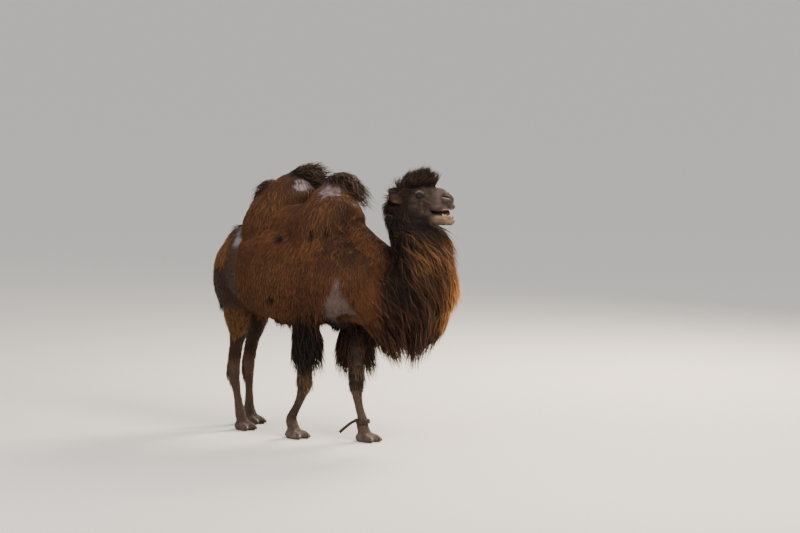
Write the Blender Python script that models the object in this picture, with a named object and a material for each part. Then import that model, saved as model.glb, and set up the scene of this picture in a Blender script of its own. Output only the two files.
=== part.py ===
"""A Bactrian camel, life size, standing with its head turned to its left: solids out to the coat's tips.

The trunk lies along +X with the head end forward, +Y is the camel's left, +Z is up and the soles rest on
Z = 0. Every tube of flesh and coat is lofted through a few rings, the tubes are fused into one body, and
thin slabs then part that body where the anatomy names its parts. All sizes are in metres.
"""

import math
from collections import namedtuple

import bmesh
import bpy
import numpy as np
from mathutils import Matrix, Vector

# Driving dimensions
ELBOW_HEIGHT = 0.98
KNEE_HEIGHT = 0.45
STIFLE_HEIGHT = 1.02
HOCK_HEIGHT = 0.51
FETLOCK_HEIGHT = 0.135
HALF_TRACK = 0.15
HEAD_YAW = math.radians(48)
EYE_LEVEL = Vector((1.191, 0.307, 2.052))
EYE_RADIUS = 0.021
EAR_LENGTH = 0.115
HOBBLE_HEIGHT = 0.165
HOBBLE_WIDTH = 0.036
BELLY_CUT = 0.885
KNEE_CUT = 0.50
HOCK_CUT = 0.555
FOOT_CUT = 0.105
HIND_FOOT_SHARE = 0.9
CUT = 0.0006
FIT = 0.0006

# How finely the fused flesh is rebuilt, and how many triangles it keeps
BODY_VOXEL = 0.011
HEAD_VOXEL = 0.006
BODY_TRIANGLES = 3100
HEAD_TRIANGLES = 1060

# A ring of a loft: its middle, its half width sideways, how far it reaches over (towards the spine, or the
# front of a limb) and under, and the yaw in degrees of the piece it belongs to
Ring = namedtuple("Ring", "x y z wide over under yaw", defaults=(0.0,))

COLOURS = {
    "umber_wool": (0.075, 0.032, 0.016, 1.0),
    "dark_mane": (0.028, 0.013, 0.008, 1.0),
    "bare_hide": (0.085, 0.060, 0.050, 1.0),
    "eyeball": (0.010, 0.006, 0.004, 1.0),
    "nail_horn": (0.050, 0.038, 0.030, 1.0),
    "hobble_rope": (0.020, 0.014, 0.010, 1.0),
}
ROUGHNESS = {"eyeball": 0.08, "nail_horn": 0.45, "bare_hide": 0.6}


def material(name):
    """The named material, made on first use."""
    found = bpy.data.materials.get(name)
    if found:
        return found
    made = bpy.data.materials.new(name)
    made.use_nodes = True
    shader = made.node_tree.nodes["Principled BSDF"]
    shader.inputs["Base Color"].default_value = COLOURS[name]
    shader.inputs["Roughness"].default_value = ROUGHNESS.get(name, 0.85)
    shader.inputs["Metallic"].default_value = 0.0
    return made


def smooth_rows(rows, steps):
    """Rows of numbers with steps - 1 more between each two, on a Catmull-Rom curve through them."""
    rows = np.asarray(rows, float)
    padded = np.vstack([2 * rows[0] - rows[1], rows, 2 * rows[-1] - rows[-2]])
    made = []
    for i in range(1, len(rows)):
        before, start, end, after = padded[i - 1 : i + 3]
        for t in np.arange(steps) / steps:
            bend = 2 * before - 5 * start + 4 * end - after
            twist = 3 * start - before - 3 * end + after
            made.append(start + 0.5 * t * (end - before + t * (bend + t * twist)))
    return np.array(made + [rows[-1]])


def loft(rings, around=28, steps=5):
    """(points, faces) of a closed tube through the rings, rounded off at both ends."""
    rows = smooth_rows(rings, steps)
    rows[:, 3:6] = np.maximum(rows[:, 3:6], 0.004)
    middle, yaw = rows[:, :3], np.radians(rows[:, 6])
    along = np.gradient(middle, axis=0)
    along /= np.linalg.norm(along, axis=1, keepdims=True)
    side = np.stack([-np.sin(yaw), np.cos(yaw), 0 * yaw], 1)
    side -= along * (side * along).sum(1, keepdims=True)
    side /= np.linalg.norm(side, axis=1, keepdims=True)
    over = np.cross(along, side)
    turn = 2 * np.pi * np.arange(around) / around
    points = []
    for i, row in enumerate(rows):
        reach = np.where(np.sin(turn) > 0, row[4], row[5])
        points.append(
            middle[i]
            + np.outer(np.cos(turn) * row[3], side[i])
            + np.outer(np.sin(turn) * reach, over[i])
        )
    ends = [
        middle[0] - along[0] * rows[0, 3:6].mean() * 0.5,
        middle[-1] + along[-1] * rows[-1, 3:6].mean() * 0.5,
    ]
    points = np.vstack([*points, *ends])
    first, last = len(points) - 2, len(points) - 1
    faces = []
    for i in range(len(rows) - 1):
        for j in range(around):
            k = (j + 1) % around
            low, high = i * around, (i + 1) * around
            faces.append((low + j, low + k, high + k, high + j))
    top = (len(rows) - 1) * around
    for j in range(around):
        k = (j + 1) % around
        faces.append((first, k, j))
        faces.append((last, top + j, top + k))
    return points, faces


def blob(middle, radii, yaw=0.0, pitch=0.0, segments=24):
    """(points, faces) of an ellipsoid whose first radius points along the yaw, raised by the pitch."""
    shape = bmesh.new()
    bmesh.ops.create_uvsphere(shape, u_segments=segments, v_segments=segments // 2 + 1, radius=1.0)
    turn = Matrix.Rotation(math.radians(yaw), 4, "Z") @ Matrix.Rotation(-math.radians(pitch), 4, "Y")
    place = Matrix.Translation(Vector(middle)) @ turn @ Matrix.Diagonal((*radii, 1.0))
    shape.transform(place)
    shape.verts.index_update()
    points = np.array([v.co for v in shape.verts])
    faces = [tuple(v.index for v in f.verts) for f in shape.faces]
    shape.free()
    return points, faces


def new_object(name, shells, finish):
    """A mesh object from one or more (points, faces) shells."""
    mesh = bpy.data.meshes.new(name)
    points, faces, start = [], [], 0
    for shell_points, shell_faces in shells:
        points.extend(map(tuple, shell_points))
        faces.extend(tuple(start + i for i in face) for face in shell_faces)
        start += len(shell_points)
    mesh.from_pydata(points, [], faces)
    shape = bmesh.new()
    shape.from_mesh(mesh)
    bmesh.ops.recalc_face_normals(shape, faces=shape.faces)
    shape.to_mesh(mesh)
    shape.free()
    made = bpy.data.objects.new(name, mesh)
    bpy.context.scene.collection.objects.link(made)
    mesh.materials.append(material(finish))
    return made


def apply_modifiers(obj):
    """Replaces the object's mesh by its evaluated one and takes its modifiers off."""
    bpy.context.view_layer.update()
    graph = bpy.context.evaluated_depsgraph_get()
    made = bpy.data.meshes.new_from_object(obj.evaluated_get(graph))
    obj.modifiers.clear()
    obj.data = made


def fuse(name, shells, voxel, smoothing, triangles, finish):
    """One closed skin round all the shells, smoothed and thinned to about that many triangles."""
    made = new_object(name, shells, finish)
    remesh = made.modifiers.new("fuse", "REMESH")
    remesh.mode = "VOXEL"
    remesh.voxel_size = voxel
    soften = made.modifiers.new("soften", "SMOOTH")
    soften.factor = 0.5
    soften.iterations = smoothing
    apply_modifiers(made)
    thin = made.modifiers.new("thin", "DECIMATE")
    thin.ratio = triangles / (2 * len(made.data.polygons))
    thin.use_collapse_triangulate = True
    apply_modifiers(made)
    return made


def subtract(obj, cutter):
    """Cuts the cutter object out of the object, and removes the cutter."""
    cut = obj.modifiers.new("cut", "BOOLEAN")
    cut.operation = "DIFFERENCE"
    cut.solver = "EXACT"
    cut.object = cutter
    apply_modifiers(obj)
    bpy.data.objects.remove(cutter)


def swollen_copy(obj, by):
    """A copy of the object whose surface stands out by that much, for cutting its seat in a neighbour."""
    made = obj.copy()
    made.data = obj.data.copy()
    bpy.context.scene.collection.objects.link(made)
    normals = [v.normal.copy() for v in made.data.vertices]
    for vertex, normal in zip(made.data.vertices, normals):
        vertex.co += normal * by
    return made


def box_object(name, middle, size, normal=(0, 0, 1)):
    """A plain box, its third side turned along the normal."""
    shape = bmesh.new()
    bmesh.ops.create_cube(shape, size=1.0)
    turn = Vector(normal).to_track_quat("Z", "Y").to_matrix().to_4x4()
    shape.transform(Matrix.Translation(Vector(middle)) @ turn @ Matrix.Diagonal((*size, 1.0)))
    mesh = bpy.data.meshes.new(name)
    shape.to_mesh(mesh)
    shape.free()
    made = bpy.data.objects.new(name, mesh)
    bpy.context.scene.collection.objects.link(made)
    return made


def loose_bodies(obj):
    """The separate closed bodies of a mesh, each as (middle, vertex indices), largest first."""
    shape = bmesh.new()
    shape.from_mesh(obj.data)
    shape.verts.ensure_lookup_table()
    seen, bodies = set(), []
    for seed in shape.verts:
        if seed.index in seen:
            continue
        group, queue = [], [seed]
        seen.add(seed.index)
        while queue:
            vertex = queue.pop()
            group.append(vertex.index)
            for edge in vertex.link_edges:
                other = edge.other_vert(vertex)
                if other.index not in seen:
                    seen.add(other.index)
                    queue.append(other)
        points = np.array([shape.verts[i].co for i in group])
        bodies.append(((points.min(0) + points.max(0)) / 2, group))
    shape.free()
    return sorted(bodies, key=lambda body: -len(body[1]))


def keep_vertices(obj, group):
    """Deletes all of the object's mesh but these vertices."""
    wanted = set(group)
    shape = bmesh.new()
    shape.from_mesh(obj.data)
    spare = [v for v in shape.verts if v.index not in wanted]
    bmesh.ops.delete(shape, geom=spare, context="VERTS")
    shape.to_mesh(obj.data)
    shape.free()


def keep_largest(obj):
    """Drops the loose slivers that a cut can leave."""
    keep_vertices(obj, loose_bodies(obj)[0][1])


def part_out(obj, places, finishes):
    """Parts a cut body into one object for each named place, by the body whose middle lies nearest to it."""
    bodies = loose_bodies(obj)[: len(places)]
    made = {}
    for name, place in places.items():
        nearest = min(bodies, key=lambda body: np.linalg.norm(body[0] - np.array(place)))
        piece = obj.copy()
        piece.data = obj.data.copy()
        piece.name = name
        bpy.context.scene.collection.objects.link(piece)
        keep_vertices(piece, nearest[1])
        piece.data.materials.clear()
        piece.data.materials.append(material(finishes.get(name, "umber_wool")))
        made[name] = piece
    bpy.data.objects.remove(obj)
    return made


# The trunk and the humps


def trunk_shells():
    """The barrel in its winter wool, the withers, the haunches, the shoulders and the pad it kneels on."""
    barrel = [
        Ring(-0.83, 0.00, 1.322, 0.06, 0.08, 0.08),
        Ring(-0.78, 0.00, 1.314, 0.20, 0.29, 0.21),
        Ring(-0.64, 0.00, 1.307, 0.29, 0.41, 0.30),
        Ring(-0.40, 0.00, 1.334, 0.37, 0.43, 0.40),
        Ring(-0.12, 0.00, 1.341, 0.42, 0.46, 0.43),
        Ring(0.15, 0.00, 1.348, 0.42, 0.46, 0.43),
        Ring(0.40, 0.00, 1.354, 0.38, 0.47, 0.40),
        Ring(0.60, 0.00, 1.350, 0.33, 0.42, 0.34),
        Ring(0.76, 0.02, 1.333, 0.27, 0.32, 0.27),
        Ring(0.90, 0.05, 1.306, 0.18, 0.22, 0.19),
    ]
    withers = [
        Ring(0.38, 0.06, 1.734, 0.10, 0.14, 0.20),
        Ring(0.58, 0.08, 1.688, 0.13, 0.15, 0.22),
        Ring(0.76, 0.10, 1.562, 0.14, 0.15, 0.22),
        Ring(0.92, 0.16, 1.475, 0.14, 0.14, 0.22, 20),
        Ring(1.03, 0.22, 1.496, 0.12, 0.12, 0.20, 35),
    ]
    shells = [loft(barrel, around=40), loft(withers)]
    shells.append(blob((0.56, 0.0, 0.99), (0.16, 0.11, 0.08)))
    for side in (-1, 1):
        shells.append(blob((-0.60, side * 0.18, 1.30), (0.22, 0.13, 0.31), pitch=-12))
        shells.append(blob((0.50, side * 0.20, 1.38), (0.20, 0.14, 0.28), pitch=15))
    return shells


def hump_shells():
    """Both humps, spent and leaning to the left under tufts of long hair, and the wool between them."""
    rear = [
        Ring(-0.06, 0.31, 1.977, 0.05, 0.06, 0.06),
        Ring(-0.08, 0.30, 2.077, 0.08, 0.09, 0.09),
        Ring(-0.12, 0.25, 2.158, 0.10, 0.09, 0.10),
        Ring(-0.17, 0.18, 2.068, 0.14, 0.17, 0.15),
        Ring(-0.23, 0.10, 1.948, 0.20, 0.24, 0.19),
        Ring(-0.27, 0.04, 1.807, 0.26, 0.29, 0.24),
        Ring(-0.28, 0.00, 1.658, 0.29, 0.34, 0.26),
        Ring(-0.28, 0.00, 1.517, 0.24, 0.28, 0.20),
    ]
    front = [
        Ring(0.49, 0.32, 2.041, 0.04, 0.05, 0.05),
        Ring(0.44, 0.26, 2.087, 0.09, 0.08, 0.10),
        Ring(0.36, 0.19, 2.071, 0.13, 0.13, 0.14),
        Ring(0.34, 0.14, 1.962, 0.20, 0.24, 0.20),
        Ring(0.35, 0.07, 1.813, 0.27, 0.32, 0.28),
        Ring(0.36, 0.00, 1.674, 0.29, 0.30, 0.34),
        Ring(0.36, 0.00, 1.534, 0.24, 0.26, 0.30),
    ]
    shoulder = blob((-0.355, 0.07, 1.975), (0.145, 0.135, 0.125))
    saddle = blob((0.05, 0.02, 1.70), (0.28, 0.275, 0.25))
    return [loft(rear), loft(front), shoulder, saddle]


# The neck with its mane


def neck_shells():
    """The U of the neck and the long mane that hangs from its throat and from the breast."""
    neck = [
        Ring(0.55, 0.00, 1.398, 0.25, 0.27, 0.30, 0),
        Ring(0.80, 0.05, 1.293, 0.24, 0.23, 0.28, 8),
        Ring(1.00, 0.16, 1.246, 0.22, 0.20, 0.30, 20),
        Ring(1.13, 0.26, 1.347, 0.21, 0.20, 0.31, 32),
        Ring(1.14, 0.28, 1.548, 0.19, 0.18, 0.30, 40),
        Ring(1.10, 0.25, 1.748, 0.17, 0.15, 0.26, 46),
        Ring(1.06, 0.20, 1.909, 0.13, 0.13, 0.14, 48),
        Ring(1.07, 0.19, 1.999, 0.10, 0.11, 0.10, 48),
    ]
    beard = [
        Ring(1.20, 0.35, 1.785, 0.08, 0.165, 0.10, 48),
        Ring(1.21, 0.36, 1.690, 0.12, 0.195, 0.14, 48),
        Ring(1.23, 0.38, 1.528, 0.17, 0.205, 0.20, 48),
        Ring(1.23, 0.39, 1.307, 0.20, 0.235, 0.21, 48),
        Ring(1.18, 0.34, 1.086, 0.20, 0.255, 0.245, 48),
        Ring(1.14, 0.30, 0.925, 0.18, 0.270, 0.25, 48),
        Ring(1.13, 0.29, 0.805, 0.15, 0.250, 0.22, 48),
        Ring(1.15, 0.31, 0.735, 0.08, 0.140, 0.11, 48),
    ]
    breast = [
        Ring(0.88, 0.10, 1.184, 0.17, 0.18, 0.18, 20),
        Ring(0.93, 0.13, 1.004, 0.16, 0.16, 0.17, 30),
        Ring(0.95, 0.14, 0.864, 0.13, 0.14, 0.14, 30),
        Ring(0.96, 0.15, 0.744, 0.07, 0.08, 0.08, 30),
    ]
    return [loft(neck, around=32), loft(beard, around=32), loft(breast, around=24)]


# The legs

Leg = namedtuple("Leg", "name side top_x mid_x low_x foot_x toe_yaw shag_back shag_front")
FORELEGS = [
    Leg("fore_right", -1, 0.40, 0.315, 0.285, 0.155, -2, 1.0, 1.35),
    Leg("fore_left", 1, 0.56, 0.580, 0.590, 0.700, 4, 1.35, 1.6),
]
HIND_LEGS = [
    Leg("hind_right", -1, -0.54, -0.45, -0.625, -0.51, -3, 1.0, 1.0),
    Leg("hind_left", 1, -0.60, -0.63, -0.785, -0.75, 3, 1.0, 0.8),
]


def foot_shells(leg, broad):
    """A splayed foot: a heel pad and two toes side by side."""
    y = leg.side * HALF_TRACK
    forward = Vector((math.cos(math.radians(leg.toe_yaw)), math.sin(math.radians(leg.toe_yaw)), 0))
    left = Vector((-forward.y, forward.x, 0))
    middle = Vector((leg.foot_x, y, 0))
    shells = [blob(middle + Vector((0, 0, 0.028)), (0.095 * broad, 0.082 * broad, 0.045), leg.toe_yaw)]
    for toe in (-1, 1):
        place = middle + forward * 0.062 * broad + left * toe * 0.044 * broad + Vector((0, 0, 0.026))
        shells.append(blob(place, (0.072 * broad, 0.043 * broad, 0.042), leg.toe_yaw + toe * 5, -6))
    return shells


def foreleg_shells(leg):
    """Shoulder, forearm in its shaggy wool, knee, cannon and foot."""
    y = leg.side * HALF_TRACK
    fetlock_x = leg.foot_x - 0.035
    front, back = leg.shag_front, leg.shag_back
    rings = [
        Ring(leg.top_x + 0.05, y * 1.1, 1.38, 0.08, 0.13, 0.13),
        Ring(leg.top_x + 0.02, y * 1.1, 1.16, 0.11, 0.14, 0.15),
        Ring(leg.mid_x, y * 1.1, ELBOW_HEIGHT, 0.105, 0.12 * front, 0.14 * back),
        Ring(leg.mid_x, y * 1.05, 0.86, 0.115, 0.135 * front, 0.155 * back),
        Ring(leg.mid_x - 0.005, y * 1.03, 0.72, 0.120, 0.135 * front, 0.165 * back),
        Ring(leg.low_x + 0.005, y, 0.60, 0.100, 0.110 * front, 0.150 * back),
        Ring(leg.low_x, y, 0.53, 0.070, 0.072 * front, 0.080 * back),
        Ring(leg.low_x, y, KNEE_HEIGHT, 0.060, 0.060, 0.058),
        Ring(leg.low_x * 0.82 + fetlock_x * 0.18, y, 0.375, 0.046, 0.040, 0.046),
        Ring(leg.low_x * 0.45 + fetlock_x * 0.55, y, 0.27, 0.038, 0.034, 0.040),
        Ring(fetlock_x + 0.005, y, 0.175, 0.043, 0.040, 0.046),
        Ring(fetlock_x, y, FETLOCK_HEIGHT, 0.050, 0.044, 0.054),
        Ring(fetlock_x + 0.020, y, 0.085, 0.052, 0.050, 0.050),
        Ring(fetlock_x + 0.035, y, 0.030, 0.062, 0.060, 0.060),
    ]
    return [loft(rings, around=24, steps=4), *foot_shells(leg, 1.0)]


def hind_leg_shells(leg):
    """Thigh, gaskin, hock, cannon and foot."""
    y = leg.side * HALF_TRACK
    fetlock_x = leg.foot_x - 0.03
    rings = [
        Ring(leg.top_x - 0.02, y * 1.15, 1.45, 0.09, 0.13, 0.14),
        Ring(leg.top_x - 0.04, y * 1.2, 1.24, 0.12, 0.19 * leg.shag_front, 0.20),
        Ring(leg.mid_x - 0.08, y * 1.2, STIFLE_HEIGHT, 0.115, 0.155 * leg.shag_front, 0.165),
        Ring(leg.mid_x * 0.62 + leg.low_x * 0.38 - 0.02, y * 1.12, 0.86, 0.088, 0.115, 0.120),
        Ring(leg.mid_x * 0.30 + leg.low_x * 0.70 - 0.01, y * 1.05, 0.71, 0.064, 0.076, 0.082),
        Ring(leg.low_x + 0.015, y, 0.60, 0.052, 0.055, 0.068),
        Ring(leg.low_x, y, HOCK_HEIGHT, 0.054, 0.055, 0.085),
        Ring(leg.low_x * 0.85 + fetlock_x * 0.15, y, 0.43, 0.044, 0.044, 0.075),
        Ring(leg.low_x * 0.50 + fetlock_x * 0.50, y, 0.30, 0.034, 0.034, 0.038),
        Ring(leg.low_x * 0.15 + fetlock_x * 0.85, y, 0.18, 0.040, 0.038, 0.044),
        Ring(fetlock_x, y, FETLOCK_HEIGHT, 0.047, 0.042, 0.050),
        Ring(fetlock_x + 0.018, y, 0.085, 0.049, 0.047, 0.047),
        Ring(fetlock_x + 0.030, y, 0.030, 0.058, 0.056, 0.056),
    ]
    return [loft(rings, around=24, steps=4), *foot_shells(leg, HIND_FOOT_SHARE)]


# The head


def head_point(forward, left, up):
    """A place given from the eye line on the head's middle plane: forward, to the left and up."""
    turned = Matrix.Rotation(HEAD_YAW, 3, "Z") @ Vector((forward, left, up))
    return EYE_LEVEL + turned


def head_ring(forward, top, bottom, wide, middle=0.5):
    """A ring across the head between two levels. Its widest place lies middle of the way up."""
    level = bottom + (top - bottom) * middle
    place = head_point(forward, 0, level)
    return Ring(*place, wide, top - level, level - bottom, math.degrees(HEAD_YAW))


def head_blob(forward, left, up, radii, yaw=0.0, pitch=0.0):
    """An ellipsoid placed and turned in the head's own frame."""
    return blob(head_point(forward, left, up), radii, math.degrees(HEAD_YAW) + yaw, pitch)


def head_shells():
    """Skull and muzzle, lower jaw a little open on the gums, cheeks, brows, lips and topknot."""
    skull = [
        head_ring(-0.205, 0.030, -0.090, 0.045),
        head_ring(-0.165, 0.066, -0.135, 0.078, 0.6),
        head_ring(-0.080, 0.084, -0.175, 0.094, 0.62),
        head_ring(0.000, 0.086, -0.170, 0.087, 0.64),
        head_ring(0.060, 0.082, -0.150, 0.074, 0.6),
        head_ring(0.117, 0.074, -0.126, 0.060, 0.55),
        head_ring(0.175, 0.062, -0.118, 0.052, 0.5),
        head_ring(0.215, 0.046, -0.112, 0.051, 0.5),
        head_ring(0.240, 0.018, -0.108, 0.044, 0.5),
        head_ring(0.252, -0.014, -0.102, 0.030, 0.5),
    ]
    jaw = [
        head_ring(-0.120, -0.080, -0.180, 0.050),
        head_ring(-0.060, -0.100, -0.212, 0.062),
        head_ring(0.020, -0.125, -0.232, 0.058),
        head_ring(0.090, -0.146, -0.238, 0.046),
        head_ring(0.150, -0.168, -0.242, 0.040),
        head_ring(0.210, -0.180, -0.246, 0.040),
        head_ring(0.255, -0.186, -0.246, 0.039),
        head_ring(0.286, -0.192, -0.228, 0.026),
    ]
    topknot = [
        head_ring(-0.200, 0.010, -0.060, 0.055),
        head_ring(-0.150, 0.078, -0.040, 0.080),
        head_ring(-0.085, 0.162, 0.010, 0.090),
        head_ring(-0.005, 0.222, 0.040, 0.085),
        head_ring(0.065, 0.215, 0.055, 0.066),
        head_ring(0.118, 0.198, 0.080, 0.040),
        head_ring(0.142, 0.184, 0.120, 0.018),
    ]
    shells = [loft(skull, steps=4), loft(jaw, around=20, steps=4), loft(topknot, around=20, steps=4)]
    for side in (-1, 1):
        shells += [
            head_blob(-0.055, side * 0.052, -0.115, (0.095, 0.042, 0.088)),
            head_blob(-0.006, side * 0.068, 0.013, (0.040, 0.026, 0.034), yaw=-side * 12),
            head_blob(-0.018, side * 0.070, 0.044, (0.050, 0.026, 0.018), yaw=-side * 14),
            head_blob(0.218, side * 0.034, 0.004, (0.036, 0.020, 0.022), pitch=-16),
            head_blob(0.238, side * 0.024, -0.078, (0.036, 0.028, 0.040), pitch=-20),
            head_blob(0.150, side * 0.040, -0.100, (0.060, 0.020, 0.034)),
        ]
    shells.append(head_blob(0.185, 0, -0.145, (0.080, 0.030, 0.040)))
    shells.append(head_blob(0.254, 0, -0.214, (0.036, 0.036, 0.028)))
    shells.append(head_blob(0.246, 0, -0.186, (0.030, 0.026, 0.020), pitch=14))
    return shells


# An ear from root to tip: share of its length, half its width and half its thickness
EAR_OUTLINE = (
    (0.0, 0.018, 0.014),
    (0.2, 0.028, 0.014),
    (0.55, 0.038, 0.011),
    (0.85, 0.028, 0.009),
    (1.0, 0.010, 0.006),
)


def ear_shell(side):
    """A small round ear, laid back and out."""
    root = head_point(-0.138, side * 0.068, -0.030)
    tip = head_point(-0.138 - EAR_LENGTH * 0.80, side * (0.068 + EAR_LENGTH * 0.55), -0.024)
    yaw = math.degrees(HEAD_YAW)
    rings = []
    for share, wide, thick in EAR_OUTLINE:
        place = root.lerp(tip, share) + Vector((0, 0, 0.012 * math.sin(math.pi * share)))
        rings.append(Ring(*place, thick, wide, wide, yaw - side * 35))
    return loft(rings, around=12, steps=2)


def eye_shell(side):
    """An eyeball, mostly covered by its lids."""
    return blob(head_point(-0.004, side * 0.083, 0.012), (EYE_RADIUS,) * 3, segments=12)


# Tail, nails and hobble


def tail_shell():
    """The short tail with its tassel, hanging a little way off the rump."""
    rings = [
        Ring(-0.74, 0.00, 1.53, 0.045, 0.045, 0.045),
        Ring(-0.84, 0.00, 1.51, 0.046, 0.042, 0.042),
        Ring(-0.905, -0.01, 1.41, 0.044, 0.036, 0.038),
        Ring(-0.930, -0.02, 1.26, 0.042, 0.034, 0.036),
        Ring(-0.940, -0.02, 1.10, 0.050, 0.040, 0.044),
        Ring(-0.925, -0.02, 0.97, 0.042, 0.034, 0.038),
        Ring(-0.910, -0.02, 0.89, 0.012, 0.010, 0.012),
    ]
    return loft(rings, around=12, steps=2)


def nail_shell(leg, toe, broad):
    """The blunt nail at the tip of one toe."""
    yaw = leg.toe_yaw + toe * 5
    forward = Vector((math.cos(math.radians(yaw)), math.sin(math.radians(yaw)), 0))
    left = Vector((-forward.y, forward.x, 0))
    middle = Vector((leg.foot_x, leg.side * HALF_TRACK, 0))
    place = middle + forward * 0.124 * broad + left * toe * 0.040 * broad + Vector((0, 0, 0.024))
    return blob(place, (0.022, 0.019, 0.016), yaw, -28, segments=8)


def hobble_shells():
    """The hobble on the left fore pastern: a leather cuff and the stiff strap that trails from it."""
    leg = FORELEGS[1]
    x, y = leg.foot_x - 0.032, leg.side * HALF_TRACK
    low, high = HOBBLE_HEIGHT - HOBBLE_WIDTH / 2, HOBBLE_HEIGHT + HOBBLE_WIDTH / 2
    cuff = [
        Ring(x + 0.003, y, low, 0.060, 0.058, 0.060),
        Ring(x + 0.003, y, low + 0.008, 0.064, 0.060, 0.064),
        Ring(x + 0.003, y, high - 0.008, 0.064, 0.060, 0.064),
        Ring(x + 0.003, y, high, 0.060, 0.058, 0.060),
    ]
    strap = [
        Ring(x - 0.066, y - 0.020, HOBBLE_HEIGHT + 0.004, 0.010, 0.010, 0.010),
        Ring(x - 0.100, y - 0.035, HOBBLE_HEIGHT - 0.006, 0.012, 0.010, 0.010),
        Ring(x - 0.140, y - 0.055, HOBBLE_HEIGHT - 0.040, 0.011, 0.010, 0.010),
        Ring(x - 0.175, y - 0.075, HOBBLE_HEIGHT - 0.085, 0.011, 0.010, 0.010),
        Ring(x - 0.190, y - 0.085, HOBBLE_HEIGHT - 0.110, 0.008, 0.007, 0.007),
    ]
    return loft(cuff, around=20, steps=1), loft(strap, around=10, steps=2)


def parting_plates():
    """The thin plates that part the body, as (middle, size, normal)."""
    plates = [
        ((0.80, 0.06, 1.25), (1.5, 1.5, CUT), (1.0, 0.12, -0.06)),
        ((-0.28, 0.05, 1.83), (0.665, 0.8, CUT), (0, 0, 1)),
        ((0.385, 0.05, 1.83), (0.665, 0.8, CUT), (0, 0, 1)),
        ((0.0525, 0.10, 2.13), (1.0, 0.7, CUT), (1, 0, 0)),
    ]
    for leg in FORELEGS:
        y = leg.side * HALF_TRACK
        plates.append(((leg.mid_x, leg.side * 0.18, BELLY_CUT), (0.56, 0.34, CUT), (0, 0, 1)))
        plates.append(((leg.low_x, y, KNEE_CUT), (0.30, 0.24, CUT), (0, 0, 1)))
        plates.append(((leg.foot_x - 0.02, y, FOOT_CUT), (0.24, 0.24, CUT), (0.2, 0, 1)))
    for leg in HIND_LEGS:
        y = leg.side * HALF_TRACK
        plates.append(((leg.mid_x - 0.05, leg.side * 0.18, BELLY_CUT), (0.56, 0.34, CUT), (0, 0, 1)))
        plates.append(((leg.low_x, y, HOCK_CUT), (0.30, 0.24, CUT), (0, 0, 1)))
        plates.append(((leg.foot_x - 0.02, y, FOOT_CUT), (0.24, 0.24, CUT), (0.2, 0, 1)))
    return plates


def places_and_finishes():
    """Where the middle of each parted piece lies, and the finish of those that differ from the wool."""
    places = {
        "trunk": (0.0, 0.0, 1.36),
        "neck": (1.10, 0.25, 1.33),
        "hump_front": (0.36, 0.12, 1.98),
        "hump_rear": (-0.20, 0.13, 2.0),
    }
    finishes = {"neck": "dark_mane"}
    for leg in FORELEGS + HIND_LEGS:
        y = leg.side * HALF_TRACK
        places["leg_" + leg.name + "_upper"] = (leg.mid_x, y, 0.71)
        places["leg_" + leg.name + "_lower"] = (leg.low_x * 0.5 + leg.foot_x * 0.5, y, 0.31)
        places["foot_" + leg.name] = (leg.foot_x, y, 0.05)
        finishes["leg_" + leg.name + "_upper"] = "dark_mane"
        finishes["leg_" + leg.name + "_lower"] = "bare_hide"
        finishes["foot_" + leg.name] = "bare_hide"
    return places, finishes


def main():
    """Builds the camel."""
    for obj in list(bpy.data.objects):
        bpy.data.objects.remove(obj)

    shells = trunk_shells() + hump_shells() + neck_shells()
    for leg in FORELEGS:
        shells += foreleg_shells(leg)
    for leg in HIND_LEGS:
        shells += hind_leg_shells(leg)
    body = fuse("body", shells, BODY_VOXEL, 8, BODY_TRIANGLES, "umber_wool")
    head = fuse("head", head_shells(), HEAD_VOXEL, 5, HEAD_TRIANGLES, "bare_hide")
    subtract(body, box_object("floor_block", (0, 0, -0.25), (6.0, 4.0, 0.5)))
    subtract(body, swollen_copy(head, FIT))
    keep_largest(body)

    tail = new_object("tail", [tail_shell()], "dark_mane")
    subtract(body, swollen_copy(tail, FIT))
    for side, word in ((-1, "right"), (1, "left")):
        eye = new_object("eye_" + word, [eye_shell(side)], "eyeball")
        subtract(head, swollen_copy(eye, FIT))
        ear = new_object("ear_" + word, [ear_shell(side)], "dark_mane")
        subtract(head, swollen_copy(ear, FIT))
        subtract(body, swollen_copy(ear, FIT))
    keep_largest(head)
    keep_largest(body)

    for middle, size, normal in parting_plates():
        subtract(body, box_object("plate", middle, size, normal))
    pieces = part_out(body, *places_and_finishes())

    for leg in FORELEGS + HIND_LEGS:
        foot = pieces["foot_" + leg.name]
        broad = 1.0 if leg in FORELEGS else HIND_FOOT_SHARE
        for toe, word in ((-1, "right"), (1, "left")):
            nail = new_object("nail_" + leg.name + "_" + word, [nail_shell(leg, toe, broad)], "nail_horn")
            subtract(foot, swollen_copy(nail, FIT))
        keep_largest(foot)

    cuff_shell, strap_shell = hobble_shells()
    cuff = new_object("hobble_cuff", [cuff_shell], "hobble_rope")
    subtract(cuff, swollen_copy(pieces["leg_fore_left_lower"], FIT))
    strap = new_object("hobble_strap", [strap_shell], "hobble_rope")
    subtract(strap, swollen_copy(cuff, FIT))
    keep_largest(strap)
    settle_on_origin()


def settle_on_origin():
    """Moves the whole camel so that the middle of its outer box stands over the origin."""
    objects = [obj for obj in bpy.context.scene.objects if obj.type == "MESH"]
    points = np.array([v.co for obj in objects for v in obj.data.vertices])
    middle = (points.min(0) + points.max(0)) / 2
    for obj in objects:
        obj.data.transform(Matrix.Translation((-middle[0], -middle[1], 0)))


main()
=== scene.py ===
"""A moulting Bactrian camel at life size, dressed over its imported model.

One skin stands for all the flesh. Over it grows the coat, as joined meshes of tufts that follow its lie. The
eyes, the nails, the teeth and the hobble are pieces of their own. Shapes are worked out in the body's own
axes, with x forward along the trunk, y to the camel's left and z up from the soles. At the end they move into
the frame.
"""

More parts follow.
